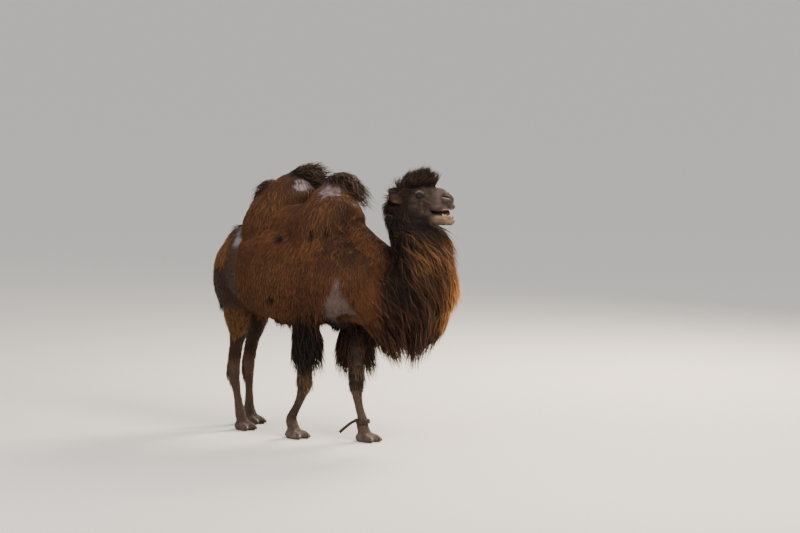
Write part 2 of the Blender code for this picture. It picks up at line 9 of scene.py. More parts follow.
import logging
import math
from collections.abc import Callable, Iterable
from dataclasses import dataclass, field
from enum import Enum
from typing import NamedTuple

import bmesh
import bpy
import numpy as np
from bpy.types import Material, Mesh, Node, NodeOutputs, NodeSocket, NodeTree, Object
from mathutils import Matrix, Vector, noise
from mathutils.kdtree import KDTree


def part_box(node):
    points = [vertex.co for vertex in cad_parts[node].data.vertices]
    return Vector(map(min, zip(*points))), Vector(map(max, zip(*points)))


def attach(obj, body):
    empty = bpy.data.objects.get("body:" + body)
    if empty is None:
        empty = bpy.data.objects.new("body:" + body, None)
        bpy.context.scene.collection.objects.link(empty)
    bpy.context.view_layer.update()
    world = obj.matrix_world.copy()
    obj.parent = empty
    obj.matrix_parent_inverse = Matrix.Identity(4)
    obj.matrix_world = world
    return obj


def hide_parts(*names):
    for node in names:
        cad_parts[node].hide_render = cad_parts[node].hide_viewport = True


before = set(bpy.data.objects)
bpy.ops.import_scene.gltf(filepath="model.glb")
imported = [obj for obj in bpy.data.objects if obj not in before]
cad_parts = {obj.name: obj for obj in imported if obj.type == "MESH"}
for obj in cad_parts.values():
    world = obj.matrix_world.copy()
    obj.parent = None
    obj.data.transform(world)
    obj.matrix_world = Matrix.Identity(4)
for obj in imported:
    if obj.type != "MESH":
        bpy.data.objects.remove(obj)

LOG = logging.getLogger("camel")
BODY = "root"
HALF_TRACK = 0.15
HEAD_YAW = math.radians(48)
HEAD_TURN = Matrix.Rotation(HEAD_YAW, 3, "Z")
EYE_LEVEL = Vector((1.191, 0.307, 2.052))
EYE_FORWARD, EYE_ASIDE, EYE_UP = -0.004, 0.083, 0.012
EYE_RADIUS = 0.021
VALUE_KEYS = {"FLOAT": "value", "FLOAT_VECTOR": "vector", "FLOAT_COLOR": "color"}


# ---- tubes


class Region(Enum):
    """The parts of the body that wear different kinds of coat."""

    TRUNK = 0
    HUMP = 1
    WITHERS = 2
    NECK = 3
    BEARD = 4
    BREAST = 5
    FORELEG = 6
    HIND_LEG = 7
    HEAD = 8
    TOPKNOT = 9
    TAIL = 10
    EAR = 11


TRUNK, HUMP, WITHERS, NECK, BEARD, BREAST, FORELEG, HIND_LEG, HEAD, TOPKNOT, TAIL, EAR = Region


class Ring(NamedTuple):
    """A ring of a tube: its middle, half its width, its reach over and under, and its yaw in degrees."""

    x: float
    y: float
    z: float
    wide: float
    over: float
    under: float
    yaw: float = 0.0


@dataclass
class Shell:
    """A closed shape of flesh.

    Attributes:
        points: its corners, one row each.
        faces: its faces, as tuples of corner numbers.
        region: the kind of coat that it wears.
    """

    points: np.ndarray
    faces: list[tuple[int, ...]]
    region: Region


def smooth_rows(rows: Iterable[Iterable[float]], steps: int) -> np.ndarray:
    """Rows of numbers with more rows between them.

    Args:
        rows: the rows to pass through.
        steps: how many steps lead from each row to the next.

    Returns:
        Points on a Catmull-Rom curve through the rows.
    """
    given = np.asarray(list(rows), float)
    padded = np.vstack([2 * given[0] - given[1], given, 2 * given[-1] - given[-2]])
    made = []
    for i in range(1, len(given)):
        before, start, end, after = padded[i - 1 : i + 3]
        bend = 2 * before - 5 * start + 4 * end - after
        twist = 3 * start - before - 3 * end + after
        for t in np.arange(steps) / steps:
            made.append(start + 0.5 * t * (end - before + t * (bend + t * twist)))
    return np.array([*made, given[-1]])


def loft(rings: Iterable[Iterable[float]], region: Region, inset: float = 0.0, around: int = 32,
         steps: int = 6) -> Shell:
    """A closed tube through rings, rounded at both ends.

    Args:
        rings: the measures of each ring, from one end to the other.
        region: the coat that the tube wears.
        inset: how far the flesh lies inside the rings, which run out to the coat's tips.
        around: corners round the tube.
        steps: steps from each ring to the next.

    Returns:
        The tube as a shell.
    """
    rows = smooth_rows((Ring(*ring) for ring in rings), steps)
    rows[:, 3:6] = np.maximum(rows[:, 3:6] - inset, 0.005)
    middle, yaw = rows[:, :3], np.radians(rows[:, 6])
    along = np.gradient(middle, axis=0)
    along /= np.linalg.norm(along, axis=1, keepdims=True)
    side = np.stack([-np.sin(yaw), np.cos(yaw), 0 * yaw], 1)
    side -= along * (side * along).sum(1, keepdims=True)
    side /= np.linalg.norm(side, axis=1, keepdims=True)
    over = np.cross(along, side)
    turn = 2 * np.pi * np.arange(around) / around
    points = []
    for i, row in enumerate(rows):
        reach = np.where(np.sin(turn) > 0, row[4], row[5])
        ring = middle[i] + np.outer(np.cos(turn) * row[3], side[i])
        points.append(ring + np.outer(np.sin(turn) * reach, over[i]))
    points.append(middle[:1] - along[:1] * rows[0, 3:6].mean() * 0.5)
    points.append(middle[-1:] + along[-1:] * rows[-1, 3:6].mean() * 0.5)
    corners = np.vstack(points)
    first, last, top = len(corners) - 2, len(corners) - 1, (len(rows) - 1) * around
    faces: list[tuple[int, ...]] = []
    for j in range(around):
        k = (j + 1) % around
        for low in range(0, top, around):
            faces.append((low + j, low + k, low + around + k, low + around + j))
        faces.append((first, k, j))
        faces.append((last, top + j, top + k))
    return Shell(corners, faces, region)


def blob(middle: Iterable[float], radii: Iterable[float], region: Region, yaw: float = 0.0,
         pitch: float = 0.0, segments: int = 28) -> Shell:
    """An ellipsoid.

    Args:
        middle: its middle.
        radii: its three radii. The first points along the yaw, raised by the pitch.
        region: the coat that it wears.
        yaw: its turn about the upright axis, in degrees.
        pitch: how far its first radius is raised, in degrees.
        segments: corners round it.

    Returns:
        The ellipsoid as a shell.
    """
    shape = bmesh.new()
    bmesh.ops.create_uvsphere(shape, u_segments=segments, v_segments=segments // 2 + 1, radius=1.0)
    turn = Matrix.Rotation(math.radians(yaw), 4, "Z") @ Matrix.Rotation(-math.radians(pitch), 4, "Y")
    shape.transform(Matrix.Translation(Vector(middle)) @ turn @ Matrix.Diagonal((*radii, 1.0)))
    shape.verts.index_update()
    points = np.array([v.co for v in shape.verts])
    faces = [tuple(v.index for v in f.verts) for f in shape.faces]
    shape.free()
    return Shell(points, faces, region)


def head_point(forward: float, left: float, up: float) -> Vector:
    """A place given from the eye line on the head's middle plane: forward, to the left and up."""
    return EYE_LEVEL + HEAD_TURN @ Vector((forward, left, up))


def head_ring(forward: float, top: float, bottom: float, wide: float, middle: float = 0.5) -> Ring:
    """A ring across the head between two levels, widest a share of the way up.

    Args:
        forward: its place, from the eye line.
        top: its upper level.
        bottom: its lower level.
        wide: half its width.
        middle: how far up it is widest, as a share.

    Returns:
        The ring.
    """
    level = bottom + (top - bottom) * middle
    place = head_point(forward, 0, level)
    return Ring(*place, wide, top - level, level - bottom, math.degrees(HEAD_YAW))


def head_loft(rows: Iterable[Iterable[float]], region: Region = HEAD, inset: float = 0.0) -> Shell:
    """A closed tube along the head, through rings given by head_ring's measures."""
    return loft([head_ring(*row) for row in rows], region, inset)


def head_blob(forward: float, left: float, up: float, radii: tuple[float, float, float], yaw: float = 0.0,
              pitch: float = 0.0) -> Shell:
    """An ellipsoid placed and turned in the head's own axes."""
    return blob(head_point(forward, left, up), radii, HEAD, math.degrees(HEAD_YAW) + yaw, pitch)


def new_object(name: str, shells: list[Shell]) -> Object:
    """One mesh object from closed shells, with its faces outward.

    Args:
        name: the object's name.
        shells: the shells to join.

    Returns:
        The object, linked to the scene.
    """
    mesh = bpy.data.meshes.new(name)
    points: list[np.ndarray] = []
    faces: list[tuple[int, ...]] = []
    start = 0
    for shell in shells:
        points.append(shell.points)
        faces.extend(tuple(start + i for i in face) for face in shell.faces)
        start += len(shell.points)
    mesh.from_pydata(np.vstack(points), [], faces)
    shape = bmesh.new()
    shape.from_mesh(mesh)
    bmesh.ops.recalc_face_normals(shape, faces=shape.faces)
    shape.to_mesh(mesh)
    shape.free()
    made = bpy.data.objects.new(name, mesh)
    bpy.context.scene.collection.objects.link(made)
    return made


def bake_modifiers(obj: Object) -> None:
    """Replaces the object's mesh by its evaluated one and takes its modifiers off.

    Args:
        obj: the object.
    """
    bpy.context.view_layer.update()
    graph = bpy.context.evaluated_depsgraph_get()
    made = bpy.data.meshes.new_from_object(obj.evaluated_get(graph))
    obj.modifiers.clear()
    old = obj.data
    obj.data = made
    bpy.data.meshes.remove(old)


def fuse(name: str, shells: list[Shell], voxel: float, smoothing: int) -> Object:
    """One closed skin round all the shells.

    Args:
        name: the object's name.
        shells: the shells to fuse.
        voxel: the size of the new faces.
        smoothing: how many times the skin is smoothed.

    Returns:
        The fused object.
    """
    made = new_object(name, shells)
    remesh = made.modifiers.new("fuse", "REMESH")
    remesh.mode = "VOXEL"
    remesh.voxel_size = voxel
    soften = made.modifiers.new("soften", "SMOOTH")
    soften.factor = 0.5
    soften.iterations = smoothing
    bake_modifiers(made)
    return made


def rows_of(items: Iterable, key: str) -> np.ndarray:
    """The vectors of a mesh's items.

    Args:
        items: the mesh's vertices or their normals.
        key: the vector's name.

    Returns:
        One row for each item.
    """
    flat = np.empty(len(items) * 3, np.float32)
    items.foreach_get(key, flat)
    return flat.reshape(-1, 3).astype(float)


def points_of(mesh: Mesh) -> np.ndarray:
    """The mesh's corners, one row each."""
    return rows_of(mesh.vertices, "co")


def normals_of(mesh: Mesh) -> np.ndarray:
    """The mesh's normals at its corners, one row each."""
    return rows_of(mesh.vertex_normals, "vector")


def set_points(mesh: Mesh, points: np.ndarray) -> None:
    """Moves the mesh's corners to these points."""
    mesh.vertices.foreach_set("co", points.astype(np.float32).ravel())
    mesh.update()


def mark(mesh: Mesh, name: str, values: np.ndarray, kind: str = "FLOAT_COLOR") -> None:
    """Stores a named value for every corner of the mesh.

    Args:
        mesh: the mesh.
        name: the name.
        values: a colour, a vector or a number for each corner.
        kind: which of these they are.
    """
    if kind == "FLOAT_COLOR":
        values = np.hstack([values, np.ones((len(values), 1))])
    made = mesh.attributes.new(name, kind, "POINT")
    made.data.foreach_set(VALUE_KEYS[kind], values.astype(np.float32).ravel())


def unit(vectors: np.ndarray) -> np.ndarray:
    """The vectors at length one."""
    return vectors / np.maximum(np.linalg.norm(vectors, axis=-1, keepdims=True), 1e-9)


def ramp(value: np.ndarray, start: float, end: float) -> np.ndarray:
    """A smooth step that is 0 before start and 1 past end."""
    share = np.clip((value - start) / (end - start), 0, 1)
    return share * share * (3 - 2 * share)


def hill(away: np.ndarray, width: float) -> np.ndarray:
    """A bell curve: 1 where away is 0, and small past the width."""
    return np.exp(-((away / width) ** 2))


def bell(points: np.ndarray, middle: Iterable[float], radii: Iterable[float]) -> np.ndarray:
    """A soft ellipsoid: 1 at its middle, falling to 0 at its radii."""
    away = (((points - np.array(list(middle))) / np.array(list(radii))) ** 2).sum(1)
    return np.clip(1 - away, 0, 1) ** 2


def ripple(points: np.ndarray, size: float, seed: float = 0.0) -> np.ndarray:
    """Smooth noise from -1 to 1 with features of about the given size."""
    scaled = points / size + seed
    return np.array([noise.noise(p) for p in scaled.tolist()])


# ---- flesh


class Leg(NamedTuple):
    """One leg's plan: the sides it stands on and where its joints lie along the body."""

    side: int
    top_x: float
    mid_x: float
    low_x: float
    foot_x: float
    toe_yaw: float
    back: float
    front: float


FORELEGS = (
    Leg(-1, 0.4, 0.315, 0.285, 0.155, -2, 1.0, 1.35),
    Leg(1, 0.56, 0.58, 0.59, 0.7, 4, 1.35, 1.6),
)
HIND_LEGS = (
    Leg(-1, -0.54, -0.45, -0.625, -0.51, -3, 1.0, 1.0),
    Leg(1, -0.6, -0.63, -0.785, -0.75, 3, 1.0, 0.8),
)
HIND_FOOT_SHARE = 0.9


@dataclass
class Flesh:
    """The tubes of the camel's body, each as deep inside the coat's tips as its hair is thick.

    Attributes:
        trunk_depth: depth of the short wool on the trunk.
        hump_depth: depth of the wool on the humps.
        neck_depth: depth of the curls on the neck.
        mane_depth: depth of the mane and the beard.
        shag_depth: depth of the long hair on the forearms.
        topknot_depth: depth of the topknot.
        thigh_depth: depth of the hair on the thighs.
        tail_depth: depth of the tail's tassel.
        ridge_depth: depth of the curls on the withers.
        heel: half the length, width and height of a foot's heel pad.
        toe: half the length, width and height of a toe.
    """

    trunk_depth: float = 0.02
    hump_depth: float = 0.022
    neck_depth: float = 0.018
    mane_depth: float = 0.036
    shag_depth: float = 0.032
    topknot_depth: float = 0.028
    thigh_depth: float = 0.018
    tail_depth: float = 0.014
    ridge_depth: float = 0.008
    heel: tuple[float, float, float] = (0.094, 0.081, 0.044)
    toe: tuple[float, float, float] = (0.071, 0.041, 0.041)

    def trunk(self) -> list[Shell]:
        """The barrel, the haunches, the shoulders, the ridge of the withers and the pad it kneels on.

        Returns:
            Their shells.
        """
        barrel = [
            (-0.83, 0, 1.322, 0.06, 0.08, 0.08), (-0.78, 0, 1.314, 0.2, 0.29, 0.21),
            (-0.64, 0, 1.307, 0.29, 0.41, 0.3), (-0.4, 0, 1.334, 0.37, 0.43, 0.4),
            (-0.12, 0, 1.341, 0.42, 0.46, 0.43), (0.15, 0, 1.348, 0.42, 0.46, 0.43),
            (0.4, 0, 1.354, 0.38, 0.47, 0.4), (0.6, 0, 1.35, 0.33, 0.42, 0.34),
            (0.76, 0.02, 1.333, 0.27, 0.32, 0.27), (0.9, 0.05, 1.306, 0.18, 0.22, 0.19),
        ]
        withers = [
            (0.38, 0.06, 1.744, 0.1, 0.14, 0.2), (0.58, 0.08, 1.708, 0.13, 0.15, 0.22),
            (0.76, 0.1, 1.592, 0.14, 0.15, 0.22), (0.92, 0.16, 1.495, 0.14, 0.14, 0.22, 20),
            (1.03, 0.22, 1.5, 0.12, 0.12, 0.2, 35),
        ]
        shells = [
            loft(barrel, TRUNK, self.trunk_depth, 56),
            loft(withers, WITHERS, self.ridge_depth),
            blob((0.56, 0, 0.99), (0.148, 0.098, 0.066), TRUNK),
        ]
        for side in (-1, 1):
            shells.append(blob((-0.6, side * 0.18, 1.3), (0.205, 0.115, 0.295), TRUNK, 0, -12))
            shells.append(blob((0.5, side * 0.2, 1.38), (0.185, 0.125, 0.265), TRUNK, 0, 15))
        return shells

    def humps(self) -> list[Shell]:
        """Both spent humps, leaning to the left under their tufts.

        Returns:
            Their shells, and the saddle between them.
        """
        rear = [
            (-0.08, 0.29, 2.03, 0.06, 0.07, 0.07), (-0.1, 0.26, 2.1, 0.085, 0.09, 0.09),
            (-0.13, 0.23, 2.13, 0.1, 0.1, 0.1), (-0.17, 0.18, 2.065, 0.14, 0.17, 0.15),
            (-0.23, 0.1, 1.947, 0.2, 0.24, 0.19), (-0.27, 0.04, 1.807, 0.26, 0.29, 0.24),
            (-0.28, 0, 1.658, 0.29, 0.34, 0.26), (-0.28, 0, 1.517, 0.24, 0.28, 0.2),
        ]
        front = [
            (0.44, 0.27, 2.04, 0.07, 0.07, 0.08), (0.4, 0.23, 2.055, 0.1, 0.1, 0.11),
            (0.36, 0.19, 2.07, 0.13, 0.13, 0.14), (0.34, 0.14, 1.962, 0.2, 0.24, 0.2),
            (0.36, 0.07, 1.813, 0.27, 0.34, 0.29), (0.37, 0, 1.674, 0.29, 0.32, 0.35),
            (0.36, 0, 1.534, 0.24, 0.26, 0.3),
        ]
        return [
            loft(rear, HUMP, self.hump_depth),
            loft(front, HUMP, self.hump_depth),
            blob((-0.355, 0.07, 1.975), (0.128, 0.118, 0.108), HUMP),
            blob((0.05, 0.02, 1.69), (0.26, 0.245, 0.23), TRUNK),
        ]

    def neck(self) -> list[Shell]:
        """The neck, the body of the beard and the breast.

        Returns:
            Their shells.
        """
        neck = [
            (0.55, 0, 1.398, 0.25, 0.27, 0.3, 0), (0.8, 0.05, 1.293, 0.24, 0.23, 0.28, 8),
            (1, 0.16, 1.246, 0.22, 0.2, 0.3, 20), (1.13, 0.26, 1.347, 0.21, 0.2, 0.31, 32),
            (1.14, 0.28, 1.548, 0.19, 0.18, 0.3, 40), (1.1, 0.25, 1.748, 0.17, 0.15, 0.26, 46),
            (1.06, 0.2, 1.909, 0.13, 0.13, 0.14, 48), (1.07, 0.19, 1.999, 0.1, 0.11, 0.1, 48),
        ]
        beard = [
            (1.2, 0.35, 1.785, 0.08, 0.165, 0.1, 48), (1.21, 0.36, 1.69, 0.12, 0.195, 0.14, 48),
            (1.23, 0.38, 1.528, 0.17, 0.205, 0.2, 48), (1.23, 0.39, 1.307, 0.2, 0.235, 0.21, 48),
            (1.18, 0.34, 1.096, 0.2, 0.255, 0.245, 48), (1.15, 0.31, 1.03, 0.17, 0.235, 0.22, 48),
            (1.13, 0.29, 0.975, 0.12, 0.17, 0.2, 48),
        ]
        breast = [
            (0.88, 0.1, 1.184, 0.17, 0.2, 0.18, 20), (0.93, 0.13, 1.024, 0.15, 0.22, 0.16, 36),
            (0.97, 0.16, 0.955, 0.12, 0.28, 0.14, 46),
        ]
        return [
            loft(neck, NECK, self.neck_depth, 40),
            loft(beard, BEARD, self.mane_depth, 40),
            loft(breast, BREAST, self.mane_depth),
        ]

    def foot(self, leg: Leg, broad: float, region: Region) -> list[Shell]:
        """A splayed foot: a heel pad and two toes side by side.

        Args:
            leg: the leg that it ends.
            broad: its size, as a share of a forefoot's.
            region: the coat that it wears.

        Returns:
            Its shells.
        """
        forward = Vector((math.cos(math.radians(leg.toe_yaw)), math.sin(math.radians(leg.toe_yaw)), 0))
        left = Vector((-forward.y, forward.x, 0))
        middle = Vector((leg.foot_x, leg.side * HALF_TRACK, 0))
        heel, toe = ((long * broad, wide * broad, tall) for long, wide, tall in (self.heel, self.toe))
        shells = [blob(middle + Vector((0, 0, 0.028)), heel, region, leg.toe_yaw)]
        for side in (-1, 1):
            place = middle + forward * 0.062 * broad + left * side * 0.044 * broad + Vector((0, 0, 0.026))
            shells.append(blob(place, toe, region, leg.toe_yaw + side * 5, -6))
        return shells

    def foreleg(self, leg: Leg) -> list[Shell]:
        """Shoulder, forearm under its shag, knee, cannon and foot.

        Args:
            leg: the leg's plan.

        Returns:
            Their shells.
        """
        y = leg.side * HALF_TRACK
        fetlock_x = leg.foot_x - 0.035
        front, back = leg.front, leg.back
        upper = [
            (leg.top_x + 0.05, y * 1.1, 1.38, 0.08, 0.13, 0.13),
            (leg.top_x + 0.02, y * 1.1, 1.16, 0.11, 0.14, 0.15),
            (leg.mid_x, y * 1.1, 0.98, 0.105, 0.12 * front, 0.14 * back),
            (leg.mid_x, y * 1.05, 0.86, 0.115, 0.135 * front, 0.155 * back),
            (leg.mid_x - 0.005, y * 1.03, 0.77, 0.116, 0.132 * front, 0.16 * back),
            (leg.low_x + 0.005, y, 0.72, 0.108, 0.12 * front, 0.15 * back),
            (leg.low_x, y, 0.68, 0.09, 0.095 * front, 0.115 * back),
        ]
        lower = [
            (leg.low_x, y, 0.74, 0.06, 0.064, 0.066), (leg.low_x, y, 0.62, 0.054, 0.057, 0.06),
            (leg.low_x, y, 0.52, 0.058, 0.06, 0.06), (leg.low_x, y, 0.45, 0.058, 0.06, 0.057),
            (leg.low_x * 0.82 + fetlock_x * 0.18, y, 0.375, 0.044, 0.038, 0.045),
            (leg.low_x * 0.45 + fetlock_x * 0.55, y, 0.27, 0.036, 0.032, 0.039),
            (fetlock_x + 0.005, y, 0.175, 0.041, 0.038, 0.045), (fetlock_x, y, 0.135, 0.049, 0.043, 0.053),
            (fetlock_x + 0.02, y, 0.085, 0.051, 0.049, 0.049),
            (fetlock_x + 0.035, y, 0.03, 0.061, 0.059, 0.059),
        ]
        knee = blob((leg.low_x + 0.012, y, 0.468), (0.054, 0.056, 0.058), FORELEG)
        shells = [loft(upper, FORELEG, self.shag_depth), loft(lower, FORELEG), knee]
        return shells + self.foot(leg, 1.0, FORELEG)

    def hind_leg(self, leg: Leg) -> list[Shell]:
        """Thigh, gaskin, hock, cannon and foot.

        Args:
            leg: the leg's plan.

        Returns:
            Their shells.
        """
        y = leg.side * HALF_TRACK
        fetlock_x = leg.foot_x - 0.03
        front = leg.front
        upper = [
            (leg.top_x - 0.02, y * 1.15, 1.45, 0.09, 0.13, 0.14),
            (leg.top_x - 0.04, y * 1.2, 1.24, 0.12, 0.19 * front, 0.2),
            (leg.mid_x - 0.08, y * 1.2, 1.02, 0.115, 0.155 * front, 0.165),
            (leg.mid_x * 0.62 + leg.low_x * 0.38 - 0.02, y * 1.12, 0.86, 0.088, 0.115, 0.12),
            (leg.mid_x * 0.3 + leg.low_x * 0.7 - 0.01, y * 1.05, 0.71, 0.066, 0.078, 0.084),
            (leg.low_x + 0.015, y, 0.6, 0.054, 0.058, 0.07),
        ]
        lower = [
            (leg.mid_x * 0.3 + leg.low_x * 0.7 - 0.01, y * 1.05, 0.71, 0.05, 0.06, 0.062),
            (leg.low_x + 0.015, y, 0.6, 0.048, 0.05, 0.062), (leg.low_x, y, 0.51, 0.052, 0.054, 0.066),
            (leg.low_x * 0.85 + fetlock_x * 0.15, y, 0.43, 0.043, 0.043, 0.052),
            (leg.low_x * 0.5 + fetlock_x * 0.5, y, 0.3, 0.033, 0.033, 0.037),
            (leg.low_x * 0.15 + fetlock_x * 0.85, y, 0.18, 0.039, 0.037, 0.043),
            (fetlock_x, y, 0.135, 0.046, 0.041, 0.049), (fetlock_x + 0.018, y, 0.085, 0.048, 0.046, 0.046),
            (fetlock_x + 0.03, y, 0.03, 0.057, 0.055, 0.055),
        ]
        shells = [loft(upper, HIND_LEG, self.thigh_depth), loft(lower, HIND_LEG)]
        return shells + self.foot(leg, HIND_FOOT_SHARE, HIND_LEG)

    def tail(self) -> list[Shell]:
        """The dock of the tail, inside its tassel.

        Returns:
            Its shell.
        """
        rings = [
            (-0.74, 0, 1.53, 0.045, 0.045, 0.045), (-0.84, 0, 1.51, 0.046, 0.042, 0.042),
            (-0.905, -0.01, 1.41, 0.044, 0.036, 0.038), (-0.93, -0.02, 1.26, 0.042, 0.034, 0.036),
            (-0.94, -0.02, 1.12, 0.045, 0.036, 0.038), (-0.932, -0.02, 1.02, 0.03, 0.026, 0.028),
        ]
        return [loft(rings, TAIL, self.tail_depth, 20)]

    def head(self) -> list[Shell]:
        """Skull and muzzle, the lower jaw a little open, tongue, cheeks, brows, lips and the ears.

        Returns:
            Their shells.
        """
        skull = [
            (-0.205, 0.03, -0.09, 0.045), (-0.165, 0.062, -0.135, 0.076, 0.6),
            (-0.08, 0.08, -0.175, 0.092, 0.62), (0, 0.083, -0.17, 0.086, 0.64),
            (0.06, 0.08, -0.15, 0.073, 0.6), (0.117, 0.07, -0.126, 0.059, 0.55),
            (0.165, 0.062, -0.116, 0.053, 0.5), (0.198, 0.052, -0.112, 0.051, 0.46),
            (0.222, 0.036, -0.108, 0.046, 0.48), (0.245, 0.01, -0.103, 0.039, 0.52),
            (0.266, -0.02, -0.098, 0.031, 0.56),
        ]
        jaw = [
            (-0.12, -0.08, -0.178, 0.048), (-0.06, -0.09, -0.208, 0.06), (0.02, -0.105, -0.226, 0.057),
            (0.09, -0.118, -0.233, 0.05), (0.14, -0.14, -0.237, 0.043, 0.55),
            (0.19, -0.172, -0.24, 0.038, 0.6), (0.232, -0.188, -0.24, 0.036, 0.6),
            (0.268, -0.198, -0.23, 0.028, 0.6),
        ]
        topknot = [
            (-0.215, 0, -0.07, 0.06), (-0.16, 0.068, -0.05, 0.084), (-0.11, 0.122, 0, 0.094),
            (-0.06, 0.152, 0.01, 0.094), (-0.015, 0.162, 0.015, 0.09), (0.04, 0.158, 0.02, 0.074),
            (0.08, 0.146, 0.024, 0.058), (0.108, 0.13, 0.03, 0.044), (0.13, 0.108, 0.04, 0.03),
        ]
        shells = [head_loft(skull), head_loft(jaw), head_loft(topknot, TOPKNOT, self.topknot_depth)]
        for side in (-1, 1):
            shells += [
                head_blob(-0.055, side * 0.052, -0.115, (0.095, 0.042, 0.088)),
                head_blob(-0.006, side * 0.068, 0.013, (0.04, 0.026, 0.034), yaw=-side * 12),
                head_blob(-0.018, side * 0.07, 0.042, (0.05, 0.026, 0.018), yaw=-side * 14),
                head_blob(0.212, side * 0.032, 0.0, (0.036, 0.019, 0.02), pitch=-16),
                head_blob(0.25, side * 0.02, -0.082, (0.042, 0.03, 0.028), pitch=-14),
                head_blob(0.205, side * 0.034, -0.094, (0.056, 0.016, 0.022), yaw=-side * 8, pitch=-2),
                head_blob(0.15, side * 0.04, -0.1, (0.06, 0.02, 0.032)),
                self.ear(side),
                head_blob(0.205, side * 0.026, -0.178, (0.058, 0.011, 0.01), yaw=-side * 9, pitch=-12),
            ]
        return [
            *shells,
            head_blob(0.18, 0, -0.142, (0.074, 0.021, 0.046)),
            head_blob(0.246, 0, -0.216, (0.038, 0.034, 0.026)),
            head_blob(0.266, 0, -0.205, (0.026, 0.03, 0.016)),
        ]

    def ear(self, side: int) -> Shell:
        """A small round ear, laid back and out.

        Args:
            side: 1 for the left ear, -1 for the right.

        Returns:
            The ear as a shell.
        """
        root = head_point(-0.138, side * 0.068, -0.04)
        tip = head_point(-0.138 - 0.096, side * (0.068 + 0.066), -0.012)
        rings = []
        for share, wide, thick in (
            (0, 0.022, 0.018), (0.2, 0.034, 0.018), (0.55, 0.04, 0.014), (0.85, 0.032, 0.01),
            (1.0, 0.014, 0.006),
        ):
            place = root.lerp(tip, share) + Vector((0, 0, 0.012 * math.sin(math.pi * share)))
            rings.append((*place, thick, wide, wide, math.degrees(HEAD_YAW) - side * 35))
        return loft(rings, EAR, around=24)


# ---- colours


def linear(colour: str) -> tuple[float, float, float, float]:
    """A hex colour in sRGB as linear red, green, blue and alpha."""
    parts = [int(colour[i : i + 2], 16) / 255 for i in (1, 3, 5)]
    return (*(p / 12.92 if p <= 0.04045 else ((p + 0.055) / 1.055) ** 2.4 for p in parts), 1.0)


class Tone(Enum):
    """The camel's colours."""

    UMBER = "#57351f"
    OCHRE = "#75502f"
    TAN = "#75522f"
    SOOT = "#160c08"
    BLACK = "#0e0705"
    CHESTNUT = "#432918"
    SABLE = "#24140c"
    PALE_HIDE = "#64534f"
    CANNON = "#46362c"
    FACE = "#332924"
    CHEEK = "#241913"
    LIP = "#75614f"
    SOLE = "#54463c"
    # Grey bare hide lightened as a painted highlight, for the tops of the humps and the haunch.
    LIT_ASH_HIDE = "#85787c"
    AMBER = "#96693f"
    IVORY = "#b39f6e"
    TARTAR = "#6b5030"

    @property
    def rgb(self) -> np.ndarray:
        """The colour in linear red, green and blue."""
        return np.array(linear(self.value)[:3])


(
    UMBER, OCHRE, TAN, SOOT, BLACK, CHESTNUT, SABLE, PALE_HIDE, CANNON, FACE, CHEEK, LIP, SOLE, LIT_ASH_HIDE, AMBER,
    IVORY, TARTAR,
) = Tone


def mixed(base: np.ndarray, other: "Tone | np.ndarray", share: np.ndarray) -> np.ndarray:
    """The base colours moved towards another one by a share for each row.

    Args:
        base: one colour, or one for each row.
        other: the colour to reach.
        share: how far, for each row.

    Returns:
        A colour for each row, in linear red, green and blue.
    """
    goal = other.rgb if isinstance(other, Tone) else other
    share = np.clip(share, 0, 1)[:, None]
    return base * (1 - share) + goal * share


MATH, VECTOR = "ShaderNodeMath", "ShaderNodeVectorMath"
MARK, NOISE = "ShaderNodeAttribute", "ShaderNodeTexNoise"
RANGE, BUMP = "ShaderNodeMapRange", "ShaderNodeBump"
STORE, READ = "GeometryNodeStoreNamedAttribute", "GeometryNodeInputNamedAttribute"


def feed(tree: NodeTree, node: Node, inputs: dict | tuple) -> None:
    """Sets or links a node's inputs.

    Args:
        tree: the node's tree.
        node: the node.
        inputs: what its inputs get, in order, or by name or number: a value, or the socket that feeds it.
    """
    for key, value in inputs.items() if isinstance(inputs, dict) else enumerate(inputs):
        if isinstance(value, NodeSocket):
            tree.links.new(value, node.inputs[key])
        else:
            node.inputs[key].default_value = value


def add_node(tree: NodeTree, kind: str, inputs: dict | tuple = (), **settings) -> NodeOutputs:
    """Adds a node of any kind to a tree.

    Args:
        tree: the tree.
        kind: the node's type.
        inputs: what feed takes.
        settings: the node's own settings.

    Returns:
        The node's outputs.
    """
    made = tree.nodes.new(kind)
    for key, value in settings.items():
        setattr(made, key, value)
    feed(tree, made, inputs)
    return made.outputs


def new_material(name: str) -> tuple[Material, NodeTree, Node]:
    """Makes a material.

    Args:
        name: its name.

    Returns:
        The material, its tree and its principled shader.
    """
    made = bpy.data.materials.new(name)
    made.use_nodes = True
    return made, made.node_tree, made.node_tree.nodes["Principled BSDF"]


